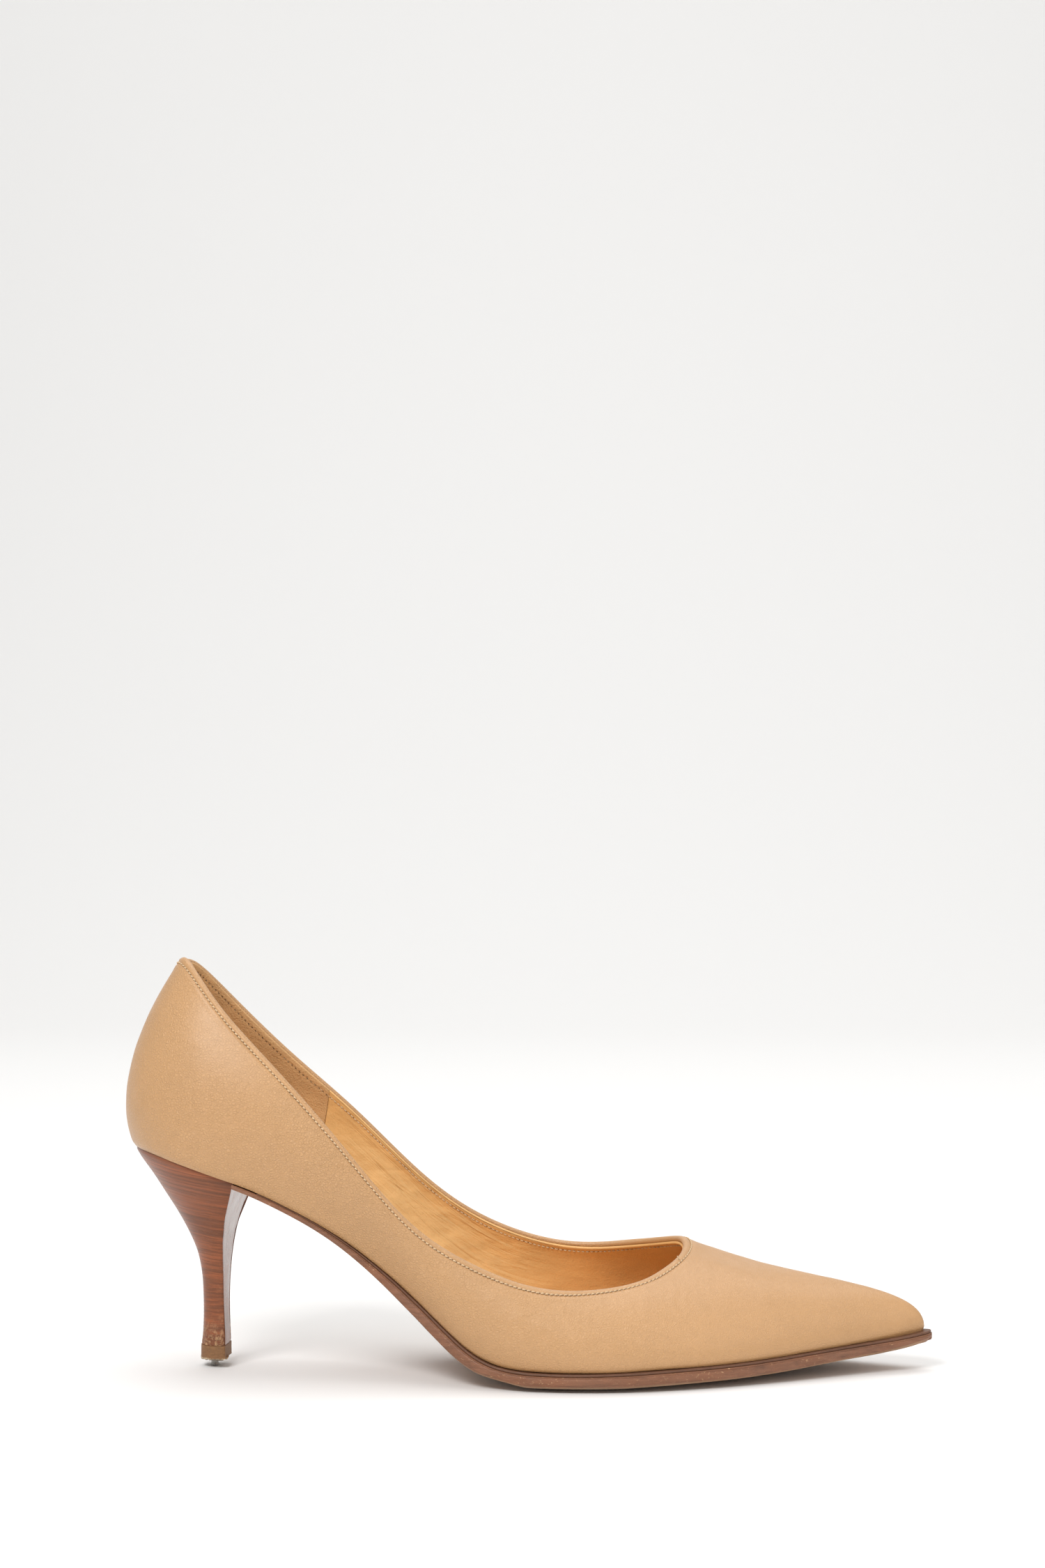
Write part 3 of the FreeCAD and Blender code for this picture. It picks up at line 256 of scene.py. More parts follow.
def noise(points, lump, seed):
    """Smooth noise, about -1 to 1, with lumps of a size in millimetres."""
    grid = np.asarray(points, float) / lump + seed * 17.31
    cell = np.floor(grid).astype(np.int64)
    inside = grid - cell
    fade = inside ** 3 * (inside * (inside * 6 - 15) + 10)
    total = np.zeros(grid.shape[:-1])
    for corner in itertools.product((0, 1), repeat=3):
        key = cell + np.array(corner)
        mixed = (key[..., 0] * 73856093) ^ (key[..., 1] * 19349663) ^ (key[..., 2] * 83492791)
        mixed = ((mixed ^ (mixed >> 13)) * 1274126177) & 0x7FFFFFFF
        pull = np.stack([((mixed >> shift) & 255) / 127.5 - 1 for shift in (3, 11, 19)], -1)
        weight = np.prod(np.where(np.array(corner) == 1, fade, 1 - fade), -1)
        total += weight * np.sum(pull * (inside - np.array(corner)), -1)
    return total * 1.6


# ------------------------------------------------- meshes
def mesh_piece(name, points, faces, uv=None, crease=40.0):
    """Smooth mesh object from points of the form; uv holds a pair for each face corner."""
    mesh = bpy.data.meshes.new(name)
    mesh.from_pydata(placed(points).tolist(), [], faces)
    if uv is not None:
        layer = mesh.uv_layers.new(name="run")
        layer.data.foreach_set("uv", np.asarray(uv, np.float32).ravel())
    shell = bmesh.new()
    shell.from_mesh(mesh)
    bmesh.ops.recalc_face_normals(shell, faces=shell.faces)
    shell.to_mesh(mesh)
    shell.free()
    mesh.polygons.foreach_set("use_smooth", [True] * len(mesh.polygons))
    mesh.set_sharp_from_angle(angle=math.radians(crease))
    piece = bpy.data.objects.new(name, mesh)
    bpy.context.scene.collection.objects.link(piece)
    return piece


def band_faces(rows, columns, wrap):
    """Quads of a profile that closes on itself, swept along columns."""
    last = columns if wrap else columns - 1
    faces, corners = [], []
    for r in range(rows):
        s = (r + 1) % rows
        for c in range(last):
            d = (c + 1) % columns
            faces.append((r * columns + c, r * columns + d, s * columns + d, s * columns + c))
            corners += [(r, c), (r, c + 1), (s, c + 1), (s, c)]
    if not wrap:
        for c in (0, columns - 1):
            faces.append([r * columns + c for r in range(rows)])
            corners += [(r, c) for r in range(rows)]
    return faces, corners


def swept_piece(name, grid, wrap, run=None, crease=40.0):
    """Closed band: grid holds rows of a closed profile; run gives a uv pair by row and column."""
    rows, columns = grid.shape[:2]
    faces, corners = band_faces(rows, columns, wrap)
    uv = None
    if run is not None:
        index = np.array(corners)
        uv = run[index[:, 0], index[:, 1]]
    return mesh_piece(name, grid.reshape(-1, 3), faces, uv, crease)


def finish_piece(piece, slot, finish, *nodes):
    """Ride, stand for CAD nodes and wear a finish. The slot is not used."""
    piece.data.materials.clear()
    piece.data.materials.append(finish)
    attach(piece, BODY)
    if nodes:
        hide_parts(*nodes)
    return piece


def length_along(line):
    """Length run along a line of points, up to each of them."""
    return np.concatenate([[0], np.cumsum(np.linalg.norm(np.diff(line, axis=0), axis=1))])


def even_columns(count, start=0.0, stop=float(ROUND), share=0.6):
    """Station values spaced evenly along the shoe between two stations."""
    fine = np.linspace(start, stop, 3000)
    line = on_last(guides_at(fine), np.full((1, len(fine)), share))[0]
    run = length_along(line)
    return np.interp(np.linspace(0, run[-1], count), run, fine)


def top_run(u):
    """Length along the top edge from the back seam to each u, and right round."""
    fine = np.linspace(0, ROUND, 6000)
    line = GUIDES[3](fine)
    run = length_along(line)
    return np.interp(np.mod(u, ROUND), fine, run), run[-1]


def from_back(u):
    """Stations between u and the back seam."""
    u = np.mod(u, ROUND)
    return np.minimum(u, ROUND - u)


def stiffening(u, v):
    """Share of the full stiffener thickness, as in the part."""
    back = from_back(u)
    counter = (1 - ease(back, 2.0, 3.8)) * (1 - ease(v, 0.50, 0.78))
    toe = ease(back, TOE_STATION - 3.2, TOE_STATION - 1.8) * (1 - ease(v, 0.34, 0.62))
    return np.maximum(counter, toe)


# ------------------------------------------------- upper
def stitch_count(sizes):
    """Whole stitches round the top edge."""
    return int(round(top_run(0.0)[1] / (sizes.stitch_pitch * 1000)))


def upper_relief(sizes, u, points, down, climbed):
    """Height of the leather's surface above the smooth form, in millimetres."""
    inset = sizes.stitch_inset * 1000
    run, whole = top_run(u)
    beat = np.cos(2 * np.pi * run / whole * stitch_count(sizes))[None, :]
    height = 0.16 * noise(points, 17.0, 1) + 0.05 * noise(points, 5.0, 2)
    height -= sizes.seam_sink * 1000 * near(down, inset, 0.42) * (1 + 0.35 * beat)
    height += 0.14 * near(down, inset * 0.45, 0.8) + 0.10 * near(down, inset + 1.4, 0.8)
    height -= 0.34 * near(climbed, 0.0, 0.9)
    x, z = points[..., 0], points[..., 2]
    lateral = points[..., 1] < 0
    # walking creases fan out from below the throat on both sides
    fan = near(x, 163.0, 15.0) * ease(climbed, 3.0, 9.0) * ease(down, 3.0, 10.0)
    lean = x + 0.55 * (z - 20) + 2.2 * noise(points, 9.0, 3)
    height += sizes.crease_depth * 1000 * fan * np.cos(lean * 2 * np.pi / 3.4) * (
        0.55 + 0.45 * noise(points, 7.0, 4))
    flex = near(x, 118.0, 20.0) * ease(climbed, 2.0, 7.0) * ease(down, 4.0, 10.0)
    height += 0.05 * flex * noise(points * (1.0, 1.0, 2.2), 2.6, 5)
    waist = near(x, 82.0, 22.0) * near(down, 9.0, 5.0)
    height += 0.055 * waist * noise(points * (0.6, 1.0, 1.5), 2.4, 6)
    # a closed butt seam runs down the back
    back = from_back(u)[None, :]
    seam = back * STATION_RUN
    height += 0.10 * near(seam, 1.1, 0.7) - 0.42 * near(seam, 0.0, 0.32)
    # the heel counter shows through as a soft step
    height += 0.05 * (ease(back, 3.9, 3.5) - 0.5) * ease(down, 8.0, 16.0) * lateral
    return height


def make_upper(sizes, finish):
    """Folded-edge leather upper with its lasting margin, one closed skin."""
    u = even_columns(797)[:-1]
    ribs = Ribs(u)
    rise = ribs.rise()
    half = FOLD_THICK / 2
    wall = (0.0, 0.35, 0.8, 1.4)
    shares = np.linspace(0, 1, 56)[1:-1]
    band = np.array([4.0, 3.6, 3.3, 3.0, 2.8, 2.62, 2.46, 2.3, 2.14, 1.98, 1.8, 1.55, 1.3, 1.1])
    turn = np.linspace(0, math.pi, 9)[1:-1]
    lining_side = np.array([0.95, 1.6, 2.4, 3.4, 4.6, 6.0])
    climbs, depths = [], []

    def row(climbed, depth):
        climbs.append(np.broadcast_to(climbed, u.shape))
        depths.append(np.full(u.shape, float(depth)))

    for climb in wall:
        row(climb, 0.0)
    for share in shares:
        row(1.4 + (rise - 4.0 - 1.4) * share, 0.0)
    for down in band:
        row(rise - down, 0.0)
    for angle in turn:
        row(rise - half + half * math.sin(angle), half - half * math.cos(angle))
    for down, depth in zip(lining_side, (1.78, 1.78, 1.78, 1.7, 1.4, 1.2)):
        row(rise - down, depth)
    for share in np.linspace(1, 0, 13)[1:]:
        row(1.5 + (rise - 7.5) * share, 1.2)
    climbed, depth = np.array(climbs), np.array(depths)
    v = ribs.v_at(climbed)
    points = ribs.place(v, depth)
    outer = len(wall) + len(shares) + len(band)
    relief = upper_relief(sizes, u, points[:outer], (rise - climbed)[:outer], climbed[:outer])
    points[:outer] += ribs.normal(v[:outer]) * relief[..., None]
    margin = margin_rows(u, points[0], points[-1])
    grid = np.concatenate([margin[0], points, margin[1]])
    run, whole = top_run(u)
    beats = np.append(run, whole) / whole * stitch_count(sizes)
    blank = np.full((3, len(u)), NO_STITCH)
    down = np.vstack([blank, rise - climbed, blank])
    down[3 + outer:] = NO_STITCH
    down = np.hstack([down, down[:, :1]])
    coordinates = np.stack([np.broadcast_to(beats, down.shape), down], -1)
    piece = swept_piece("upper", grid, True, coordinates, 50.0)
    return finish_piece(piece, "upper", finish, "upper_leather")


def margin_rows(u, foot, inner_foot):
    """Leather turned under the insole, below and above, from its cut edge outwards."""
    middle = between(SPINE, foot[:, 0])
    centre = np.stack([np.clip(foot[:, 0], 24, 214), middle], -1)
    inward = centre - foot[:, :2]
    length = np.linalg.norm(inward, axis=1, keepdims=True)
    inward /= length
    reach = np.minimum(9.6, 0.62 * length)
    below, above = [], []
    for share in (1.0, 0.55, 0.2):
        plan = foot[:, :2] + inward * reach * share
        level = feather_height(plan[:, 0])
        below.append(np.column_stack([plan, level + 0.02]))
        above.append(np.column_stack([plan, level + UPPER_THICK - 0.05]))
    return np.array(below), np.array(above[::-1])


def make_lining_piece(name, start, stop, columns, proud, slot, finish, node, seed):
    """Thin leather lining between two stations, with its folds and its stitched edge."""
    u = even_columns(columns, start, stop)
    ribs = Ribs(u)
    rise = ribs.rise()
    climbs, depths, seen = [], [], []

    def row(climbed, share, shown):
        climbs.append(np.broadcast_to(climbed, u.shape))
        depths.append(share * np.ones(u.shape))
        seen.append(shown)

    low = 2.2
    for share in np.linspace(0, 1, 12):
        row(low + (rise - 0.55 - low) * share, 0.0, 0.0)
    for angle in (0.6, 1.2, 1.9, 2.5):
        row(rise - 0.55 + 0.2 * math.sin(angle), 0.5 - 0.5 * math.cos(angle), 0.0)
    for down in (0.6, 1.0, 1.5, 1.9, 2.3, 2.7, 3.2):
        row(rise - down, 1.0, 1.0)
    for share in np.linspace(1, 0, 64)[1:]:
        row(low + (rise - 3.2 - low) * share, 1.0, 1.0)
    climbed, share = np.array(climbs), np.array(depths)
    v = ribs.v_at(climbed)
    body = LINING_OUT + 0.85 * stiffening(u[None, :], v)
    flat = ribs.place(v, body + LINING_THICK * share)
    down = rise - climbed
    x = flat[..., 0]
    drift = noise(flat, 20.0, seed)[..., None] * 6
    folds = 0.55 * noise(flat * (0.35, 1.0, 1.0) + drift, 7.0, seed + 1)
    folds *= near(x, 94.0, 30.0) * ease(down, 3.0, 10.0) + 0.25 * ease(x, 112.0, 150.0)
    fine = (0.05 + 0.10 * near(x, 90.0, 22.0)) * noise(flat * (0.6, 1.0, 1.4), 2.6, seed + 2)
    folds += fine + 0.1 * noise(flat, 12.0, seed + 3)
    folds -= 0.12 * near(down, 2.3, 0.5)
    edge = np.minimum(u - start, stop - u)[None, :] * STATION_RUN
    folds += proud * ease(down, 0.4, 2.0) * (1 - 0.45 * near(edge, 1.6, 0.5))
    limit = ease(down, 0.2, 1.4) * ease(climbed, 0.0, 4.0)
    depth = body + LINING_THICK * share + np.array(seen)[:, None] * (folds * limit)
    grid = ribs.place(v, depth)
    run, whole = top_run(u)
    beats = run / whole * 270.0
    down = np.where(np.array(seen)[:, None] > 0.5, down, NO_STITCH)
    coordinates = np.stack([np.broadcast_to(beats, down.shape), down], -1)
    piece = swept_piece(name, grid, False, coordinates, 60.0)
    return finish_piece(piece, slot, finish, node)


# ------------------------------------------------- stitching
def thread_tubes(name, paths, radius, twists=2.0, sides=8):
    """Many short twisted threads; paths has a row of points for each stitch."""
    count, steps = paths.shape[:2]
    ahead = np.gradient(paths, axis=1)
    ahead /= np.linalg.norm(ahead, axis=2, keepdims=True)
    side = np.cross(ahead, np.array((0.13, 0.21, 0.97)))
    side /= np.linalg.norm(side, axis=2, keepdims=True)
    lift = np.cross(side, ahead)
    along = np.linspace(0, 1, steps)
    taper = np.sqrt(np.clip(1 - (2 * along - 1) ** 6, 0.05, 1))
    rings = []
    for k in range(sides):
        angle = 2 * math.pi * k / sides
        swell = 1 + 0.16 * np.cos(3 * angle - along * twists * 2 * math.pi)
        reach = (radius * taper * swell)[None, :, None]
        rings.append(paths + (side * math.cos(angle) + lift * math.sin(angle)) * reach)
    verts = np.stack(rings, 2).reshape(-1, 3)
    faces = []
    for s in range(count):
        base = s * steps * sides
        for i in range(steps - 1):
            for k in range(sides):
                a = base + i * sides + k
                b = base + i * sides + (k + 1) % sides
                faces.append((a, b, b + sides, a + sides))
        faces.append([base + k for k in range(sides)])
        faces.append([base + (steps - 1) * sides + k for k in range(sides)])
    return mesh_piece(name, verts, faces, None, 80.0)


def stitch_paths(sizes, depth, gap, rise, slant):
    """Centre lines of the stitches at a depth under the skin, along the top edge."""
    count = stitch_count(sizes)
    fine = np.linspace(0, ROUND, 6000)
    run, whole = top_run(fine[:-1])
    run = np.append(run, whole)
    steps = np.linspace(gap / 2, 1 - gap / 2, 7)
    beats = (np.arange(count)[:, None] + steps[None, :]) / count * whole
    u = np.interp(beats.ravel(), run, fine)
    ribs = Ribs(u)
    across = (np.tile(steps, count) - 0.5) * slant
    climbed = (ribs.rise() - sizes.stitch_inset * 1000 + across)[None, :]
    v = ribs.v_at(climbed)
    t = (np.tile(steps, count) - gap / 2) / (1 - gap)
    arch = rise * np.sin(np.pi * t) ** 0.7
    places = ribs.place(v, (depth - arch)[None, :])[0]
    return places.reshape(count, len(steps), 3)


def make_stitching(sizes, finish):
    """Lockstitch along the top edge, outside and inside, and one loose thread end."""
    radius = sizes.thread_thick * 500
    outside = stitch_paths(sizes, 0.16, 0.26, 0.34, 0.34)
    outer = thread_tubes("topline_thread", outside, radius)
    finish_piece(outer, "thread", finish, "topline_stitching")
    inside = stitch_paths(sizes, LINING_OUT + LINING_THICK - 0.18, 0.30, -0.24, 0.2)
    finish_piece(thread_tubes("lining_thread", inside, radius * 0.9), "thread", finish)
    ribs = Ribs(np.array([9.9]))
    v = ribs.v_at(ribs.rise()[None, :] - 1.4)
    start = ribs.place(v, np.array([[-0.05]]))[0, 0]
    curl = np.array([(0, 0, 0), (0.05, -0.12, 0.15), (0.02, -0.2, 0.4), (-0.15, -0.2, 0.65),
                     (-0.35, -0.08, 0.8), (-0.45, 0.08, 1.0), (-0.4, 0.15, 1.2)])
    stray = np.stack([start + curl, start + curl * (0.6, -0.4, 0.55) + (0.2, -0.2, 0)])
    finish_piece(thread_tubes("thread_end", stray, radius * 0.62, 3.0), "thread", finish)


# ------------------------------------------------- layers under the foot
def turned(points):
    """Points of the heel, turned about its axis as it stands on the shoe."""
    c, s = math.cos(HEEL_TURN), math.sin(HEEL_TURN)
    moved = np.array(points, float)
    x, y = moved[..., 0] - HEEL_AXIS, moved[..., 1].copy()
    moved[..., 0] = HEEL_AXIS + c * x - s * y
    moved[..., 1] = s * x + c * y
    return moved


class Bed:
    """Closed plan with paired sides, for pieces that lie under the foot."""

    def __init__(self, left, right, across, blunt_start, blunt_end):
        self.rows = len(left)
        self.across = across
        last = self.rows - 1
        self.cells = {}
        ring = []

        def put(i, j, place):
            self.cells[i, j] = len(ring)
            ring.append(place)

        for i in range(self.rows):
            put(i, 0, left[i])
        if blunt_end:
            for j in range(1, across):
                put(last, j, left[last] + (right[last] - left[last]) * (j / across))
        for i in range(last, -1, -1):
            if (i == last and not blunt_end) or (i == 0 and not blunt_start):
                continue
            put(i, across, right[i])
        if blunt_start:
            for j in range(across - 1, 0, -1):
                put(0, j, left[0] + (right[0] - left[0]) * (j / across))
        for i, blunt in ((0, blunt_start), (last, blunt_end)):
            if not blunt:
                for j in range(1, across + 1):
                    self.cells[i, j] = self.cells[i, 0]
        self.ring = np.array(ring)
        self.points = []
        self.faces = []

    def inward(self):
        """Unit vectors into the plan, square to its outline."""
        ahead = np.roll(self.ring, -1, 0) - np.roll(self.ring, 1, 0)
        square = np.stack([-ahead[:, 1], ahead[:, 0]], -1)
        square /= np.linalg.norm(square, axis=1, keepdims=True)
        area = np.sum(self.ring[:, 0] * np.roll(self.ring[:, 1], -1)
                      - self.ring[:, 1] * np.roll(self.ring[:, 0], -1))
        return square if area > 0 else -square

    def add_rings(self, rings):
        """Rings of points, each joined to the one before it."""
        size = len(self.ring)
        for number, ring in enumerate(rings):
            start = len(self.points)
            self.points += [tuple(p) for p in ring]
            if number:
                for k in range(size):
                    n = (k + 1) % size
                    self.faces.append((start - size + k, start - size + n, start + n, start + k))

    def fill(self, ring_start, level):
        """Close a ring with a grid; level gives the height of a plan point."""
        flat = np.array(self.points[ring_start:ring_start + len(self.ring)])
        index = {cell: ring_start + k for cell, k in self.cells.items()}
        fresh, cells = [], []
        for i in range(1, self.rows - 1):
            a, b = flat[self.cells[i, 0]], flat[self.cells[i, self.across]]
            for j in range(1, self.across):
                fresh.append(a + (b - a) * (j / self.across))
                cells.append((i, j))
        fresh = np.array(fresh)
        fresh[:, 2] = level(fresh)
        for k, cell in enumerate(cells):
            index[cell] = len(self.points) + k
        self.points += [tuple(p) for p in fresh]
        for i in range(self.rows - 1):
            for j in range(self.across):
                corners = [index[i, j], index[i + 1, j], index[i + 1, j + 1], index[i, j + 1]]
                corners = [c for n, c in enumerate(corners) if c not in corners[:n]]
                if len(corners) > 2:
                    self.faces.append(corners)


def feather_plan(reach):
    """Plan of the feather edge moved out by a function of x: outer and inner side by x."""
    u = np.linspace(0, ROUND, 2400)
    here = GUIDES[0](u)[:, :2]
    ahead = GUIDES[0](u + 0.05)[:, :2] - GUIDES[0](u - 0.05)[:, :2]
    out = np.stack([ahead[:, 1], -ahead[:, 0]], -1)
    out /= np.linalg.norm(out, axis=1, keepdims=True)
    middle = np.stack([np.clip(here[:, 0], 24, 214), between(SPINE, here[:, 0])], -1)
    out *= np.sign(np.sum(out * (here - middle), 1))[:, None]
    return split_sides(here + out * reach(here[:, 0])[:, None])


def split_sides(plan):
    """Two sides of a closed plan, from its rearmost to its foremost point."""
    tip, rear = int(np.argmax(plan[:, 0])), int(np.argmin(plan[:, 0]))
    whole = np.roll(plan, -rear, 0)
    tip = (tip - rear) % len(plan)
    return whole[:tip + 1], whole[tip:][::-1]


def side_rows(sides, start, stop, count, pointed_start, pointed_end):
    """Paired points of both sides at the same x, closer together near pointed ends."""
    t = np.linspace(0, 1, count)
    if pointed_start and pointed_end:
        t = 0.5 - 0.5 * np.cos(np.pi * t)
    elif pointed_end:
        t = np.sin(np.pi / 2 * t)
    elif pointed_start:
        t = 1 - np.cos(np.pi / 2 * t)
    x = start + (stop - start) * t
    found = []
    for side in sides:
        order = np.argsort(side[:, 0], kind="stable")
        found.append(np.stack([x, np.interp(x, side[order, 0], side[order, 1])], -1))
    if pointed_start:
        found[1][0] = found[0][0] = (found[0][0] + found[1][0]) / 2
    if pointed_end:
        found[1][-1] = found[0][-1] = (found[0][-1] + found[1][-1]) / 2
    return found


def rand_depth(x):
    """Thickness of the rand at x."""
    return 0.8 * between(((37, 0.35), (60, 0.5), (95, 1.0), (240, 1.0)), x)


def sole_depth(x):
    """Depth of the outsole's underside under the feather edge."""
    share = between(((50, 0.0), (65, 0.06), (75, 0.2), (85, 0.4), (95, 0.6), (105, 0.82),
                     (116, 1.0), (190, 1.0), (211, 0.88), (228, 0.62), (240.4, 0.23)), x)
    return rand_depth(x) + 1.3 + 3.5 * share


def sole_reach(x):
    """Outsole past the feather edge."""
    side = between(((37, 0.1), (60, 0.3), (100, 0.8), (120, 1.0), (240, 1.0)), x)
    toe = ease(x, 216.0, 238.0)
    return 1.0 * side * (1 - toe) + 2.4 * toe


def side_line(depth):
    """Side view of a surface under the feather edge, as a table of x and height."""
    x = np.linspace(20, 250, 240)
    slope = feather_height(x + 0.5) - feather_height(x - 0.5)
    run = np.hypot(1.0, slope)
    down = depth(x)
    return x + down * slope / run, feather_height(x) - down / run


SOLE_TOP = side_line(rand_depth)
RAND_TOP = side_line(lambda x: x * 0 + 0.03)


def sole_line():
    """Side view of the outsole's underside, with its flat tread."""
    x, z = side_line(sole_depth)
    keep = (x < 108) | (x > 175)
    x = np.concatenate([x[keep], [121, 128, 135, 142, 149]])
    z = np.concatenate([z[keep], [0.0] * 5])
    order = np.argsort(x)
    x, z = x[order], z[order]
    fine = np.linspace(x[0], x[-1], 900)
    smooth = np.interp(fine, x, z)
    weights = np.hanning(31)
    padded = np.pad(smooth, 15, mode="edge")
    eased = np.convolve(padded, weights / weights.sum(), mode="valid")
    flat = near(fine, 135, 11)
    return fine, np.maximum(smooth * flat + eased * (1 - flat), 0.0)


SOLE_BOTTOM = sole_line()


def level_of(line):
    """Height of a side view at the x of plan points."""
    return lambda points: np.interp(points[:, 0], *line)


def sole_floor(left, right, camber):
    """Height of the outsole's underside at plan points; its sides lift off the floor."""
    def level(points):
        x = points[:, 0]
        near_side, far_side = (np.interp(x, side[:, 0], side[:, 1]) for side in (left, right))
        half = np.maximum(np.abs(far_side - near_side) / 2, 0.5)
        share = np.abs(points[:, 1] - (near_side + far_side) / 2) / half
        lift = camber * between(((37, 0), (85, 0.1), (108, 0.8), (125, 1), (215, 1), (240, 0.7)), x)
        room = 0.4 * (np.interp(x, *SOLE_TOP) - np.interp(x, *SOLE_BOTTOM))
        return np.interp(x, *SOLE_BOTTOM) + np.minimum(lift, room) * ease(share, 0.45, 1.0)
    return level


def follow_breast(side, start):
    """Side of the sole with its rear end turned to lie along the breast."""
    turn = 1 - ease(side[:, 0], start, start + 12.0)
    return np.column_stack([side[:, 0] - math.sin(HEEL_TURN) * side[:, 1] * turn, side[:, 1]])


def make_outsole(sizes, finish):
    """Leather outsole: pared waist, flat tread, rounded and scuffed edges."""
    sides = feather_plan(sole_reach)
    tip = max(side[:, 0].max() for side in sides)
    start = BREAST_X + 0.2
    left, right = side_rows(sides, start, tip, 330, False, True)
    floor_at = sole_floor(left, right, sizes.sole_camber * 1000)
    bed = Bed(follow_breast(left, start), follow_breast(right, start), 26, True, False)
    inward = bed.inward()
    x = bed.ring[:, 0]
    top, bottom = np.interp(x, *SOLE_TOP), floor_at(bed.ring)
    tall = top - bottom
    wear = noise(np.column_stack([bed.ring, bottom]), 4.0, 11)
    fine_wear = noise(np.column_stack([bed.ring, bottom]), 1.3, 12)
    corner = between(((37, 0.25), (70, 0.4), (95, 0.9), (108, 1.7), (135, 2.0), (160, 1.6),
                      (190, 1.2), (225, 0.9), (240, 0.6)), x) * sizes.edge_round / 0.0019
    corner = np.minimum(corner * (1 + 0.10 * wear), 0.46 * tall)
    rings = []

    def ring(inset, height):
        plan = bed.ring + inward * np.broadcast_to(inset, x.shape)[:, None]
        rings.append(np.column_stack([plan, height]))

    ring(3.2, top)
    ring(0.30, top)
    ring(0.10, top - 0.05 * np.ones(len(x)))
    ring(0.02, top - 0.16)
    for share in (0.10, 0.16, 0.22, 0.30, 0.42, 0.56, 0.70, 0.84, 0.94):
        belly = 0.10 * math.sin(math.pi * share)
        groove = 0.11 * math.exp(-((share - 0.16) / 0.05) ** 2)
        height = top - 0.16 - (tall - 0.16 - corner) * share
        dents = 0.07 * np.maximum(fine_wear - 0.25, 0) + 0.03 * np.abs(wear)
        ring(groove - belly + 0.10 + dents * (0.4 + share), height)
    for angle in np.linspace(0, math.pi / 2, 8):
        scuff = 0.05 * fine_wear * math.sin(2 * angle)
        ring(0.08 + corner * (1 - math.cos(angle)) + scuff,
             bottom + corner * (1 - math.sin(angle)))
    for inset in (corner + 0.8, corner + 1.8, corner + 3.4):
        under = bed.ring + inward * inset[:, None]
        rings.append(np.column_stack([under, floor_at(under)]))
    bed.add_rings(rings)
    size = len(bed.ring)
    bed.fill(0, level_of(SOLE_TOP))
    bed.fill(size * (len(rings) - 1), lambda p: floor_at(p)
             + 0.05 * (1 + noise(p, 6.0, 13)) * ease(p[:, 0], 40, 60))
    piece = mesh_piece("outsole", np.array(bed.points), bed.faces, None, 45.0)
    return finish_piece(piece, "sole", finish, "outsole")


def make_rand(finish):
    """Thin rand between the upper and the outsole, with a rounded edge."""
    sides = feather_plan(lambda x: sole_reach(x) - 0.30)
    tip = max(side[:, 0].max() for side in sides)
    left, right = side_rows(sides, BREAST_X + 6.0, tip, 300, False, True)
    bed = Bed(left, right, 20, True, False)
    inward = bed.inward()
    x = bed.ring[:, 0]
    high, low = np.interp(x, *RAND_TOP), np.interp(x, *SOLE_TOP) + 0.03
    tall = high - low
    profile = [(2.6, 0.02), (0.5, 0.0), (0.16, 0.03), (0.03, 0.2), (0.0, 0.5), (0.03, 0.8),
               (0.16, 0.97), (0.5, 1.0), (0.95, 1.05), (2.6, 1.0)]
    wander = 0.05 * noise(np.column_stack([bed.ring, low]), 5.0, 21)
    rings = [np.column_stack([bed.ring + inward * (inset + wander)[:, None], low + tall * share])
             for inset, share in profile]
    bed.add_rings(rings)
    size = len(bed.ring)
    start = size * (len(rings) - 1)
    bed.faces += [(start + k, start + (k + 1) % size, (k + 1) % size, k) for k in range(size)]
    piece = mesh_piece("rand", np.array(bed.points), bed.faces, None, 50.0)
    return finish_piece(piece, "rand", finish, "sole_rand")


def bed_height(x, rise):
    """Height at x of a surface that lies square over the feather edge by rise(x)."""
    return np.interp(x, *side_line(lambda at: -rise(at)))


def bed_edge(rise):
    """Plan where a surface that lies over the feather edge meets the linings."""
    u = np.linspace(0, ROUND, 800)
    ribs = Ribs(u)
    v = np.repeat(np.linspace(0.0, 0.6, 70)[:, None], len(u), 1)
    body = LINING_OUT + LINING_THICK + 0.85 * stiffening(u[None, :], v)
    inner = ribs.place(v, body)
    over = inner[..., 2] - bed_height(inner[..., 0], rise)
    first = np.argmax(over >= 0, axis=0)
    return split_sides(inner[first, np.arange(len(u)), :2])


def pad_rise(x):
    """Rise of the sock over its pads."""
    heel = ease(x, -6.0, 10.0) * (1 - ease(x, 48.0, 70.0))
    fore = 0.6 * ease(x, 108.0, 124.0) * (1 - ease(x, 158.0, 178.0))
    return 2.4 * np.maximum(heel, fore)


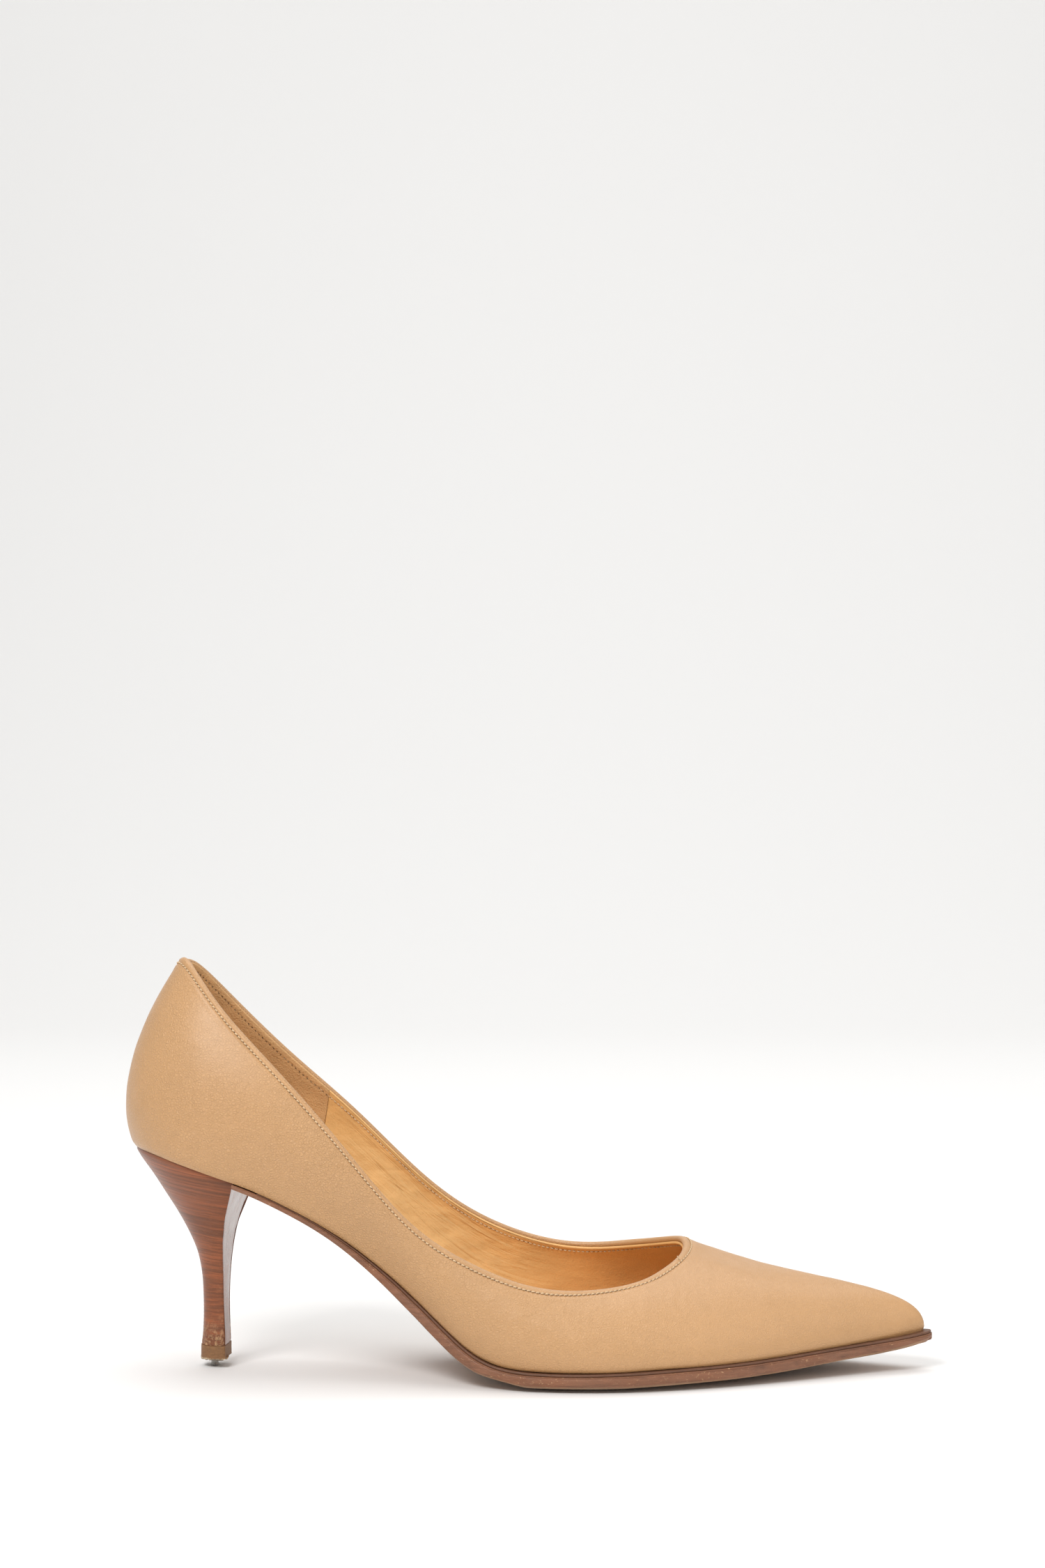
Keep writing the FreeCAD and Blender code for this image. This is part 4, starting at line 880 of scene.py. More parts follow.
def make_sock(finish):
    """Leather sock over its pads, edges tucked against the linings."""
    sides = bed_edge(lambda x: SOCK_FLOOR + SOCK_THICK + pad_rise(x))
    start = min(side[:, 0].min() for side in sides) + 0.3
    left, right = side_rows(sides, start, 205.0, 260, True, False)
    bed = Bed(left, right, 40, False, True)
    inward = bed.inward()
    x = bed.ring[:, 0]
    rings = []
    for inset, share in ((1.2, 0.0), (0.25, 0.02), (0.0, 0.4),
                         (0.1, 0.75), (0.5, 0.96), (1.1, 1.0)):
        plan = bed.ring + inward * inset
        level = bed_height(plan[:, 0], lambda at: SOCK_FLOOR + pad_rise(at) + SOCK_THICK * share)
        rings.append(np.column_stack([plan, level]))
    bed.add_rings(rings)
    size = len(bed.ring)

    def sock_top(p):
        dish = 0.35 * noise(p, 26.0, 31) + 0.06 * noise(p, 4.0, 32)
        heel = 0.9 * np.exp(-((p[:, 0] - 30) / 15) ** 2 - (p[:, 1] / 10) ** 2)
        ball = 0.7 * np.exp(-((p[:, 0] - 140) / 14) ** 2 - ((p[:, 1] + 2) / 16) ** 2)
        level = bed_height(p[:, 0], lambda at: SOCK_FLOOR + pad_rise(at) + SOCK_THICK)
        return level + dish * 0.5 * ease(pad_rise(p[:, 0]), 0.0, 0.8) - heel - ball

    bed.fill(0, lambda p: bed_height(
        p[:, 0], lambda at: SOCK_FLOOR + np.maximum(pad_rise(at) - SOCK_DISH, 0)))
    bed.fill(size * (len(rings) - 1), sock_top)
    piece = mesh_piece("sock", np.array(bed.points), bed.faces, None, 60.0)
    return finish_piece(piece, "sock", finish, "sock_lining")


def pad_top(x):
    """Thickness of the foam under the dished sock."""
    return np.maximum(pad_rise(x) - SOCK_DISH, 0.15)


def make_pads(finish):
    """Foam pads under the sock, domed and thin at their edges."""
    for name, node, start, stop in (("heel_cushion", "heel_pad", 9.0, 66.0),
                                    ("ball_cushion", "forepart_pad", 112.0, 174.0)):
        sides = bed_edge(lambda x: 3.4 + 0 * x)
        left, right = side_rows(sides, start, stop, 60, False, False)
        middle = (left + right) / 2
        left, right = middle + (left - middle) * 0.72, middle + (right - middle) * 0.72
        bed = Bed(left, right, 16, True, True)
        inward = bed.inward()
        rings = []
        for inset, share in ((1.5, 0.0), (0.2, 0.08), (0.0, 0.3),
                             (0.5, 0.62), (1.8, 0.85), (3.5, 1.0)):
            plan = bed.ring + inward * inset
            level = bed_height(plan[:, 0], lambda at: PAD_FLOOR + pad_top(at) * share)
            rings.append(np.column_stack([plan, level]))
        bed.add_rings(rings)
        size = len(bed.ring)
        bed.fill(0, lambda p: bed_height(p[:, 0], lambda at: PAD_FLOOR + 0 * at))
        bed.fill(size * (len(rings) - 1),
                 lambda p: bed_height(p[:, 0], lambda at: PAD_FLOOR + pad_top(at)))
        piece = mesh_piece(name, np.array(bed.points), bed.faces, None, 60.0)
        finish_piece(piece, "foam", finish, node)


# ------------------------------------------------- heel
def heel_shape(z):
    """Centre, radius, breast, opening angle and half width of the heel's section at z."""
    table = np.array(HEEL_SECTIONS)
    back, breast, half = (between(table[:, (0, k)], z) for k in (1, 2, 3))
    depth = breast - back
    radius = (depth ** 2 + half ** 2) / (2 * depth)
    centre = back + radius
    return centre, radius, breast, np.arctan2(half, breast - centre), half


def heel_point(share, z, inset=0.0):
    """Point of the heel's round side: share runs from the inner breast edge round the back."""
    centre, radius, _, opening, _ = heel_shape(z)
    angle = opening + share * (2 * np.pi - 2 * opening)
    reach = radius - inset
    return turned(np.stack([centre + reach * np.cos(angle), reach * np.sin(angle), z], -1))


def seat_level(share, drop=0.06):
    """Height at which the heel's side meets the seat, for each share."""
    z = np.full(np.shape(share), 60.0)
    for _ in range(30):
        z = 0.5 * z + 0.5 * (feather_height(heel_point(share, z)[..., 0]) - drop)
    return z


def heel_scars(points, share):
    """Dents and lifted leather at the heel's worn places."""
    low = near(points[..., 2], 8.5, 3.5)
    corner = near(share, 1.0, 0.07) + 0.5 * near(share, 0.0, 0.05)
    knocks = np.minimum(noise(points, 1.5, 41), 0.1) * 0.28 * low * (0.25 + corner)
    edge = 0.16 * np.minimum(noise(points, 2.6, 42) + 0.1, 0) * corner * ease(points[..., 2], 36.0, 14.0)
    return knocks + edge


def make_heel_cover(sizes, finish):
    """Stacked leather wrapped round the heel block, in thin lifts."""
    share = np.linspace(0, 1, 150)
    top = seat_level(share)
    heights = np.concatenate([[0.0, 0.004], np.linspace(0.012, 0.985, 170), [0.996, 1.0]])
    rows, inner = [], []
    for t in heights:
        z = HEEL_FOOT + (top - HEEL_FOOT) * t
        rows.append(heel_point(share, z))
    for t in np.linspace(1, 0, 14):
        z = HEEL_FOOT + (top - HEEL_FOOT) * t
        inner.append(heel_point(share, z, sizes.cover_thick * 1000))
    outer = np.array(rows)
    centre = heel_shape(outer[..., 2])[0]
    axis = turned(np.stack([centre, centre * 0, outer[..., 2]], -1))
    out = outer - axis
    out[..., 2] = 0
    out /= np.linalg.norm(out, axis=2, keepdims=True)
    stack = lift_lines(outer)
    ridge = 0.018 * np.sin(stack * 2 * np.pi / (sizes.lift_pitch * 1000)) + 0.02 * noise(outer, 6.0, 43)
    edge_round = 0.16 * (near(share, 0.0, 0.012) + near(share, 1.0, 0.012))[None, :]
    rim = (0.12 * near(heights, 0.0, 0.004) + 0.45 * near(heights, 1.0, 0.007))[:, None]
    move = ridge + heel_scars(outer, share[None, :]) - edge_round - rim
    outer = outer + out * move[..., None]
    grid = np.concatenate([outer, np.array(inner)])
    flat = np.concatenate([stack, np.array([lift_lines(row) for row in inner])]) / 10.0
    run = np.broadcast_to(share * 6.0, flat.shape)
    piece = swept_piece("heel_cover", grid, False, np.stack([run, flat], -1), 42.0)
    return finish_piece(piece, "heel_cover", finish, "heel_wrap")


def lift_lines(points):
    """Height measured across the stacked lifts, which tilt towards the seat."""
    tilt = 0.16 * ease(points[..., 2], 14.0, 60.0)
    return points[..., 2] + tilt * (points[..., 0] - 24.0) + 0.25 * noise(points, 9.0, 44)


def make_breast(sizes, finish):
    """Smooth glossy leather down the flat front of the heel."""
    across = np.linspace(-1, 1, 34)
    profile = []
    trim = sizes.cover_thick * 1000 + 0.20
    for face, offset in ((1, 0.0), (-1, -sizes.cover_thick * 1000)):
        for s in across[::face]:
            profile.append((s, offset if abs(s) < 0.999 else offset * 0.8 - 0.06))
    t = np.linspace(0, 1, 120)
    grid = []
    for s, offset in profile:
        z_top = 55.0
        for _ in range(30):
            _, _, breast, _, half = heel_shape(np.array([z_top]))
            place = turned(np.array([[breast[0], s * (half[0] - trim), z_top]]))
            z_top = 0.5 * z_top + 0.5 * float(feather_height(place[0, 0]) - 0.1)
        z = HEEL_FOOT + 0.03 + (z_top - HEEL_FOOT - 0.03) * t
        _, _, breast, _, half = heel_shape(z)
        flat = np.stack([breast, s * (half - trim), z], -1)
        if offset > -0.3:
            belly = 0.05 * (1 - s * s) + 0.03 * noise(flat, 7.0, 51) + 0.012 * noise(flat, 2.2, 52)
            belly -= 0.10 * near(flat[:, 1] - 3.0, 0, 1.2) * near(z, 46.0, 1.0)
            flat[:, 0] += belly - 0.06 + (offset if abs(s) > 0.999 else 0.0)
        else:
            flat[:, 0] += offset
        grid.append(turned(flat))
    piece = swept_piece("heel_breast", np.array(grid), False, None, 50.0)
    return finish_piece(piece, "breast_cover", finish, "heel_breast_cover")


def ring_walls(rings, size):
    """Quads between stacked rings of a number of points each."""
    return [(n * size + k, n * size + (k + 1) % size, (n + 1) * size + (k + 1) % size,
             (n + 1) * size + k) for n in range(rings - 1) for k in range(size)]


def foot_outline(count, grow):
    """Closed plan of the heel's foot, grown outwards, with rounded breast corners."""
    centre, radius, _, opening, _ = (float(v) for v in heel_shape(HEEL_FOOT))
    arc = opening + np.linspace(0, 1, count) * (2 * np.pi - 2 * opening)
    round_side = np.stack([centre + radius * np.cos(arc), radius * np.sin(arc)], -1)
    front = np.linspace(round_side[-1], round_side[0], count // 3)[1:-1]
    ring = np.concatenate([round_side, front])
    for _ in range(2):
        ring = (np.roll(ring, 1, 0) + 2 * ring + np.roll(ring, -1, 0)) / 4
    middle = ring.mean(0)
    out = ring - middle
    out /= np.linalg.norm(out, axis=1, keepdims=True)
    return ring + out * grow, out, middle


def make_lift(sizes, finish):
    """Top lift, ground away at its lower edge and burred at the front."""
    ring, out, middle = foot_outline(120, 0.14)
    bearing = np.arctan2(out[:, 1], out[:, 0])
    low = sizes.pin_proud * 1000
    spots = np.column_stack([ring, np.full(len(ring), low)])
    ragged = 0.35 * noise(spots, 1.6, 61) + 0.2 * noise(spots, 0.6, 62)
    burr = 0.55 * np.exp(-((bearing + 0.55) / 0.35) ** 2) + 0.25 * np.exp(-((bearing - 2.6) / 0.5) ** 2)
    edge = low + 1.0 + ragged + 0.25 * np.cos(bearing)
    rings = []

    def level(grow, z):
        plan = ring + out * np.broadcast_to(grow, bearing.shape)[:, None]
        rings.append(np.column_stack([plan, np.broadcast_to(z, bearing.shape)]))

    level(-2.6, 6.62)
    level(-0.25, 6.62)
    level(-0.03, 6.52)
    for share in (0.05, 0.2, 0.4, 0.6, 0.8, 0.92):
        bulge = 0.05 * noise(np.column_stack([ring, ring[:, 0] * 0 + share * 5]), 2.0, 63)
        level(bulge, 6.5 + (edge - 6.5) * share)
    level(0.10 + burr * 0.8 + 0.1 * ragged, edge - 0.06 - burr * 0.2)
    level(0.06 + burr, edge - 0.22 - burr * 0.3)
    level(-0.25 + 0.1 * ragged, edge - 0.42)
    level(-1.1, low + 0.32 + 0.3 * ragged)
    level(-2.2, low + 0.08 + 0.1 * ragged)
    level(-3.0, low + 0.25)
    points = [tuple(p) for r in rings for p in r]
    size = len(ring)
    faces = ring_walls(len(rings), size)
    for base, z in ((0, 6.62), ((len(rings) - 1) * size, low + 0.5)):
        hub = len(points)
        points.append((middle[0], middle[1], z))
        faces += [(base + k, base + (k + 1) % size, hub) for k in range(size)]
    places = turned(np.array(points))
    places[:, 2] = np.maximum(places[:, 2], 0.6)
    piece = mesh_piece("lift", places, faces, None, 35.0)
    return finish_piece(piece, "lift", finish, "top_lift")


def make_pin(finish):
    """Steel dowel of the lift, ground bright and burred where it meets the floor."""
    profile = ((0.0, 0.55), (0.5, 0.5), (0.62, 0.12), (0.8, 0.0), (1.05, 0.02), (1.28, 0.16),
               (1.34, 0.34), (1.26, 0.55), (1.12, 0.8), (1.05, 1.2), (1.08, 1.8), (1.1, 2.6),
               (1.1, 18.4), (0.95, 18.6), (0.0, 18.65))
    sides = 40
    points = []
    angle = np.linspace(0, 2 * np.pi, sides, endpoint=False)
    for radius, z in profile:
        worn = ease(z, 1.6, 0.2)
        ring = np.column_stack([HEEL_AXIS + radius * np.cos(angle), radius * np.sin(angle),
                                np.full(sides, z)])
        swell = 1 + worn * 0.14 * noise(ring, 0.7, 71)
        ring[:, 0] = HEEL_AXIS + (ring[:, 0] - HEEL_AXIS) * swell
        ring[:, 1] *= swell
        ring[:, 2] = np.maximum(ring[:, 2] + worn * 0.08 * noise(ring, 0.9, 72), 0.0)
        points += [tuple(p) for p in ring]
    piece = mesh_piece("lift_pin", np.array(points), ring_walls(len(profile), sides), None, 40.0)
    shell = bmesh.new()
    shell.from_mesh(piece.data)
    bmesh.ops.remove_doubles(shell, verts=shell.verts, dist=1e-6)
    shell.to_mesh(piece.data)
    shell.free()
    return finish_piece(piece, "steel", finish, "top_lift_dowel")


# ------------------------------------------------- finishes
class Recipe:
    """Node material built up one node at a time."""

    def __init__(self, name, **sockets):
        self.material = bpy.data.materials.new(name)
        self.material.use_nodes = True
        self.tree = self.material.node_tree
        self.shader = self.tree.nodes["Principled BSDF"]
        for socket, value in sockets.items():
            self.shader.inputs[socket.replace("_", " ")].default_value = value
        self.coordinates = self.tree.nodes.new("ShaderNodeTexCoord").outputs["Object"]

    def add(self, kind, inputs=(), out=0, **settings):
        """Add a node; inputs are (socket, value or output) pairs."""
        node = self.tree.nodes.new("ShaderNode" + kind)
        for name, value in settings.items():
            setattr(node, name, value)
        for socket, value in inputs:
            if isinstance(value, bpy.types.NodeSocket):
                self.tree.links.new(value, node.inputs[socket])
            else:
                node.inputs[socket].default_value = value
        return node.outputs[out]

    def noise(self, lump, detail=2.0, rough=0.5, stretch=(1, 1, 1), warp=0.0, vector=None):
        """Noise with lumps of a size in metres."""
        place = self.add("Mapping", [("Vector", vector or self.coordinates),
                                     ("Scale", tuple(s / lump for s in stretch))])
        return self.add("TexNoise", [("Vector", place), ("Scale", 1.0), ("Detail", detail),
                                     ("Roughness", rough), ("Distortion", warp)])

    def cells(self, size, feature="F1", vector=None):
        """Distance in a field of cells of a size in metres."""
        place = self.add("Mapping", [("Vector", vector or self.coordinates),
                                     ("Scale", (1 / size,) * 3)])
        return self.add("TexVoronoi", [("Vector", place), ("Scale", 1.0)], feature=feature)

    def spread(self, value, low, high, to_low=0.0, to_high=1.0):
        """Map a value from one range to another, clamped."""
        return self.add("MapRange", [("Value", value), ("From Min", low), ("From Max", high),
                                     ("To Min", to_low), ("To Max", to_high)])

    def math(self, operation, first, second=0.0):
        """Arithmetic on one or two values."""
        return self.add("Math", [(0, first), (1, second)], operation=operation)

    def mix(self, share, first, second, blend="MIX"):
        """Mix two colours."""
        return self.add("Mix", [(0, share), (6, first), (7, second)], out=2,
                        data_type="RGBA", blend_type=blend)

    def axis(self, vector, name):
        """One coordinate of a vector."""
        node = self.tree.nodes.new("ShaderNodeSeparateXYZ")
        self.tree.links.new(vector, node.inputs[0])
        return node.outputs[name]

    def bump(self, height, distance, strength=1.0, under=None):
        """Surface relief; distance is the relief's height in metres."""
        inputs = [("Strength", strength), ("Distance", distance), ("Height", height)]
        if under is not None:
            inputs.append(("Normal", under))
        return self.add("Bump", inputs)

    def wear(self, socket, output):
        """Drive a socket of the shader."""
        self.tree.links.new(output, self.shader.inputs[socket])


def shade(colour, factor):
    """Colour made darker or lighter, with full opacity."""
    return tuple(min(channel * factor, 1.0) for channel in colour[:3]) + (1.0,)


def run_vector(recipe):
    """Coordinates along and below the top edge, in stitches and millimetres."""
    return recipe.add("UVMap", uv_map="run")


def needle_holes(recipe, inset, width):
    """Mask that is 1 in the holes between stitches."""
    run = run_vector(recipe)
    along, down = recipe.axis(run, "X"), recipe.axis(run, "Y")
    phase = recipe.math("SUBTRACT", recipe.math("FRACT", recipe.math("ADD", along, 0.5)), 0.5)
    across = recipe.math("DIVIDE", recipe.math("SUBTRACT", down, inset), width)
    length = recipe.math("DIVIDE", phase, 0.22)
    reach = recipe.math("ADD", recipe.math("MULTIPLY", across, across),
                        recipe.math("MULTIPLY", length, length))
    return recipe.spread(reach, 1.25, 0.35), down


def upper_leather(sizes, colours):
    """Smooth tan calf: pebbled over the quarter and ball, finer towards the toe."""
    recipe = Recipe("tan_calf", Specular_IOR_Level=0.55, Coat_Weight=0.45, Coat_Roughness=0.36)
    tan = colours.upper
    x = recipe.axis(recipe.coordinates, "X")
    wander = recipe.noise(0.03, 2.0)
    coarse = recipe.math("ADD", recipe.spread(x, 0.055, -0.045, 0.22, 1.0),
                         recipe.spread(wander, 0.3, 0.7, -0.12, 0.12))
    holes, down = needle_holes(recipe, sizes.stitch_inset * 1000, 0.20)
    fold = recipe.spread(down, 1.2, 3.6)
    grain_share = recipe.math("MULTIPLY", coarse, recipe.spread(fold, 0.0, 1.0, 0.25, 1.0))
    warped = recipe.add("VectorMath", [(0, recipe.coordinates), (1, recipe.add(
        "VectorMath", [(0, recipe.add("TexNoise", [("Vector", recipe.coordinates), ("Scale", 900.0),
                                                    ("Detail", 1.0)], out=1)),
                       (3, 0.0005)], operation="SCALE"))], operation="ADD")
    pebble = recipe.cells(0.00082, "DISTANCE_TO_EDGE", vector=warped)
    pebble = recipe.spread(pebble, 0.0, 0.30)
    fine = recipe.cells(0.00034, "DISTANCE_TO_EDGE", vector=warped)
    fine = recipe.spread(fine, 0.0, 0.25)
    pores = recipe.noise(0.00022, 2.0, 0.6)
    wrinkle = recipe.noise(0.0022, 3.0, 0.55, (1.0, 1.0, 2.0), 0.6)
    relief = recipe.math("ADD", recipe.math("MULTIPLY", pebble, grain_share),
                         recipe.math("MULTIPLY", fine, 0.35))
    relief = recipe.math("ADD", relief, recipe.math("MULTIPLY", pores, 0.25))
    relief = recipe.math("ADD", relief, recipe.math("MULTIPLY", wrinkle, recipe.math(
        "MULTIPLY", grain_share, 0.9)))
    relief = recipe.math("SUBTRACT", relief, recipe.math("MULTIPLY", holes, 5.0))
    recipe.wear("Normal", recipe.bump(relief, sizes.grain_height))
    patch = recipe.noise(0.035, 3.0, 0.55)
    mottle = recipe.noise(0.0035, 4.0, 0.65)
    colour = recipe.mix(recipe.spread(patch, 0.32, 0.68), shade(tan, 0.955), shade(tan, 1.035))
    colour = recipe.mix(recipe.spread(mottle, 0.35, 0.7, 0.0, 0.22), colour, shade(tan, 0.82))
    valley = recipe.math("MULTIPLY", recipe.spread(pebble, 0.55, 0.0), grain_share)
    colour = recipe.mix(recipe.math("MULTIPLY", valley, 0.30), colour, shade(tan, 0.72))
    # painted highlight: the rounded fold along the top edge is painted paler and pinker
    rim = recipe.spread(down, 1.0, 0.0, 0.0, 0.55)
    colour = recipe.mix(rim, colour, (tan[0] * 1.02, tan[1] * 1.06, tan[2] * 1.35, 1.0))
    # painted shade: the needle holes between stitches are painted dark brown
    colour = recipe.mix(recipe.math("MULTIPLY", holes, 0.55), colour, (0.14, 0.065, 0.028, 1.0))
    recipe.wear("Base Color", colour)
    gloss = recipe.math("ADD", recipe.spread(mottle, 0.3, 0.7, 0.36, 0.46),
                        recipe.spread(pebble, 0.0, 1.0, 0.06, 0.0))
    recipe.wear("Roughness", gloss)
    return recipe.material


def lining_leather(name, tan, sizes, rough, nap):
    """Unpainted lining leather; nap raises a suede-like pile."""
    recipe = Recipe(name, Specular_IOR_Level=0.35)
    x = recipe.axis(recipe.coordinates, "X")
    holes, down = needle_holes(recipe, sizes.stitch_inset * 1000, 0.24)
    patch = recipe.noise(0.022, 4.0, 0.6)
    streak = recipe.noise(0.006, 4.0, 0.65, (0.4, 1.0, 1.0), 0.8)
    pores = recipe.noise(0.0005, 3.0, 0.7)
    colour = recipe.mix(recipe.spread(patch, 0.3, 0.7), shade(tan, 0.86), shade(tan, 1.08))
    colour = recipe.mix(recipe.spread(streak, 0.4, 0.75, 0.0, 0.45), colour, shade(tan, 0.68))
    # painted shade: this worn mask paints the lining darker and deeper orange-brown towards the toe, where
    # the inside of the shoe lies in shade; it is not wear
    worn = recipe.spread(x, -0.01, 0.055, 0.0, 0.55)
    colour = recipe.mix(worn, colour, (tan[0] * 0.86, tan[1] * 0.70, tan[2] * 0.52, 1.0))
    speck = recipe.spread(recipe.noise(0.0016, 3.0, 0.7), 0.62, 0.72, 0.0, nap * 0.5)
    colour = recipe.mix(speck, colour, shade(tan, 0.55))
    # painted shade: the needle holes of the lining are painted near black-brown
    colour = recipe.mix(recipe.math("MULTIPLY", holes, 0.7), colour, (0.09, 0.04, 0.018, 1.0))
    recipe.wear("Base Color", colour)
    relief = recipe.math("ADD", recipe.math("MULTIPLY", pores, 0.5 + nap),
                         recipe.math("MULTIPLY", streak, 1.1))
    relief = recipe.math("ADD", relief, recipe.math("MULTIPLY", recipe.cells(0.0006), 0.5))
    relief = recipe.math("SUBTRACT", relief, recipe.math("MULTIPLY", holes, 3.0))
    lines = recipe.add("Mapping", [("Vector", run_vector(recipe)), ("Scale", (0.07, 0.34, 1.0))])
    lines = recipe.add("TexNoise", [("Vector", lines), ("Scale", 1.0), ("Detail", 3.0),
                                    ("Distortion", 1.2)])
    arch = recipe.math("MULTIPLY", recipe.spread(x, -0.066, -0.040), recipe.spread(x, 0.012, -0.012))
    relief = recipe.math("ADD", relief, recipe.math("MULTIPLY", arch, recipe.math(
        "MULTIPLY", lines, 7.0)))
    recipe.wear("Normal", recipe.bump(relief, 0.00012 + 0.00014 * nap))
    recipe.wear("Roughness", recipe.spread(patch, 0.3, 0.7, rough - 0.06, rough + 0.08))
    return recipe.material


def thread_finish(colours):
    """Waxed cream thread, slightly soiled."""
    recipe = Recipe("cream_thread", Specular_IOR_Level=0.3, Sheen_Weight=0.25)
    dirt = recipe.noise(0.004, 3.0, 0.6)
    fibre = recipe.noise(0.00012, 2.0, 0.6, (1, 1, 3))
    cream = colours.thread
    colour = recipe.mix(recipe.spread(dirt, 0.35, 0.7, 0.0, 0.7), shade(cream, 1.0), shade(cream, 0.72))
    recipe.wear("Base Color", recipe.mix(recipe.spread(fibre, 0.3, 0.7, 0.0, 0.35), colour,
                                         shade(cream, 0.6)))
    recipe.wear("Roughness", recipe.spread(fibre, 0.3, 0.7, 0.6, 0.8))
    recipe.wear("Normal", recipe.bump(fibre, 0.00004))
    return recipe.material


def sole_leather(colours):
    """Burnished brown outsole, scuffed pale along its edges and worn under the ball."""
    recipe = Recipe("burnished_sole", Specular_IOR_Level=0.4, Coat_Weight=0.05, Coat_Roughness=0.3)
    brown = colours.sole
    facing = recipe.axis(recipe.add("NewGeometry", out=1), "Z")
    x = recipe.axis(recipe.coordinates, "X")
    z = recipe.axis(recipe.coordinates, "Z")
    bands = recipe.noise(0.0016, 4.0, 0.7, (0.12, 0.3, 1.0), 0.5)
    blotch = recipe.noise(0.010, 4.0, 0.6, (0.6, 1, 1))
    speck = recipe.noise(0.00075, 3.0, 0.75, (0.6, 1, 1))
    colour = recipe.mix(recipe.spread(bands, 0.32, 0.68), shade(brown, 0.62), shade(brown, 1.25))
    colour = recipe.mix(recipe.spread(blotch, 0.35, 0.7, 0.0, 0.5), colour,
                        (brown[0] * 1.25, brown[1] * 1.05, brown[2] * 0.85, 1.0))
    scuff = recipe.math("MULTIPLY", recipe.spread(speck, 0.60, 0.70),
                        recipe.spread(blotch, 0.42, 0.60))
    colour = recipe.mix(recipe.math("MULTIPLY", scuff, 0.75), colour, (0.62, 0.38, 0.20, 1.0))
    below = recipe.spread(facing, -0.45, -0.85)
    tread = recipe.math("MULTIPLY", recipe.spread(z, 0.0032, 0.0004), below)
    worn = recipe.mix(recipe.spread(recipe.noise(0.004, 5.0, 0.7, (0.3, 1, 1)), 0.3, 0.7),
                      (0.20, 0.14, 0.10, 1.0), (0.40, 0.29, 0.20, 1.0))
    under = recipe.mix(recipe.spread(recipe.noise(0.006, 4.0, 0.6, (0.3, 1, 1)), 0.3, 0.7),
                       (0.36, 0.20, 0.105, 1.0), (0.47, 0.28, 0.15, 1.0))
    colour = recipe.mix(recipe.math("MULTIPLY", below, 0.8), colour, under)
    colour = recipe.mix(recipe.math("MULTIPLY", tread, 0.8), colour, worn)
    recipe.wear("Base Color", colour)
    relief = recipe.math("ADD", bands, recipe.math("MULTIPLY", speck, 0.8))
    relief = recipe.math("ADD", relief, recipe.math("MULTIPLY", recipe.noise(0.0003, 2.0), 0.4))
    recipe.wear("Normal", recipe.bump(relief, 0.00022))
    recipe.wear("Roughness", recipe.math("ADD", recipe.spread(blotch, 0.3, 0.7, 0.38, 0.55),
                                         recipe.math("MULTIPLY", below, 0.2)))
    return recipe.material


def stacked_leather(sizes, colours):
    """Varnished stacked leather: thin dark and reddish lifts, rubbed pale low down."""
    recipe = Recipe("stacked_leather", Specular_IOR_Level=0.3, Coat_Weight=0.08, Coat_Roughness=0.18)
    brown = colours.heel
    run = run_vector(recipe)
    stack = recipe.add("Mapping", [("Vector", run), ("Scale", (0.35, 10.0, 1.0))])
    broad = recipe.add("TexNoise", [("Vector", stack), ("Scale", 0.42), ("Detail", 4.0),
                                    ("Roughness", 0.62), ("Distortion", 0.25)])
    lifts = recipe.add("Mapping", [("Vector", run), ("Scale", (0.8, 34.0, 1.0))])
    thin = recipe.add("TexNoise", [("Vector", lifts), ("Scale", 0.42), ("Detail", 5.0),
                                   ("Roughness", 0.7), ("Distortion", 0.4)])
    fibre = recipe.add("Mapping", [("Vector", run), ("Scale", (6.0, 90.0, 1.0))])
    fibre = recipe.add("TexNoise", [("Vector", fibre), ("Scale", 0.5), ("Detail", 3.0),
                                    ("Roughness", 0.7)])
    colour = recipe.mix(recipe.spread(broad, 0.38, 0.62), shade(brown, 0.72),
                        (brown[0] * 1.32, brown[1] * 1.12, brown[2] * 0.95, 1.0))
    colour = recipe.mix(recipe.spread(thin, 0.42, 0.60, 0.0, 0.72), colour, shade(brown, 0.50))
    colour = recipe.mix(recipe.spread(fibre, 0.56, 0.72, 0.0, 0.5), colour,
                        (brown[0] * 1.7, brown[1] * 1.5, brown[2] * 1.25, 1.0))
    z = recipe.axis(recipe.coordinates, "Z")
    speck = recipe.noise(0.0011, 4.0, 0.75)
    rubbed = recipe.math("MULTIPLY", recipe.spread(speck, 0.47, 0.58),
                         recipe.spread(z, 0.0150, 0.0068))
    side = recipe.axis(run, "X")
    front = recipe.math("MULTIPLY", recipe.spread(side, 5.35, 5.9), recipe.spread(z, 0.036, 0.018))
    nick = recipe.math("MULTIPLY", recipe.spread(recipe.noise(0.0032, 4.0, 0.7), 0.54, 0.66), front)
    colour = recipe.mix(recipe.math("MULTIPLY", nick, 0.55), colour, (0.52, 0.24, 0.11, 1.0))
    colour = recipe.mix(recipe.math("MULTIPLY", rubbed, 0.8), colour, (0.55, 0.33, 0.17, 1.0))
    recipe.wear("Base Color", colour)
    relief = recipe.math("ADD", thin, recipe.math("MULTIPLY", fibre, 0.6))
    relief = recipe.math("ADD", relief, recipe.math("MULTIPLY", rubbed, 1.2))
    recipe.wear("Normal", recipe.bump(relief, 0.00012))
    recipe.wear("Roughness", recipe.math("ADD", recipe.spread(fibre, 0.3, 0.7, 0.30, 0.44),
                                         recipe.math("MULTIPLY", rubbed, 0.3)))
    return recipe.material


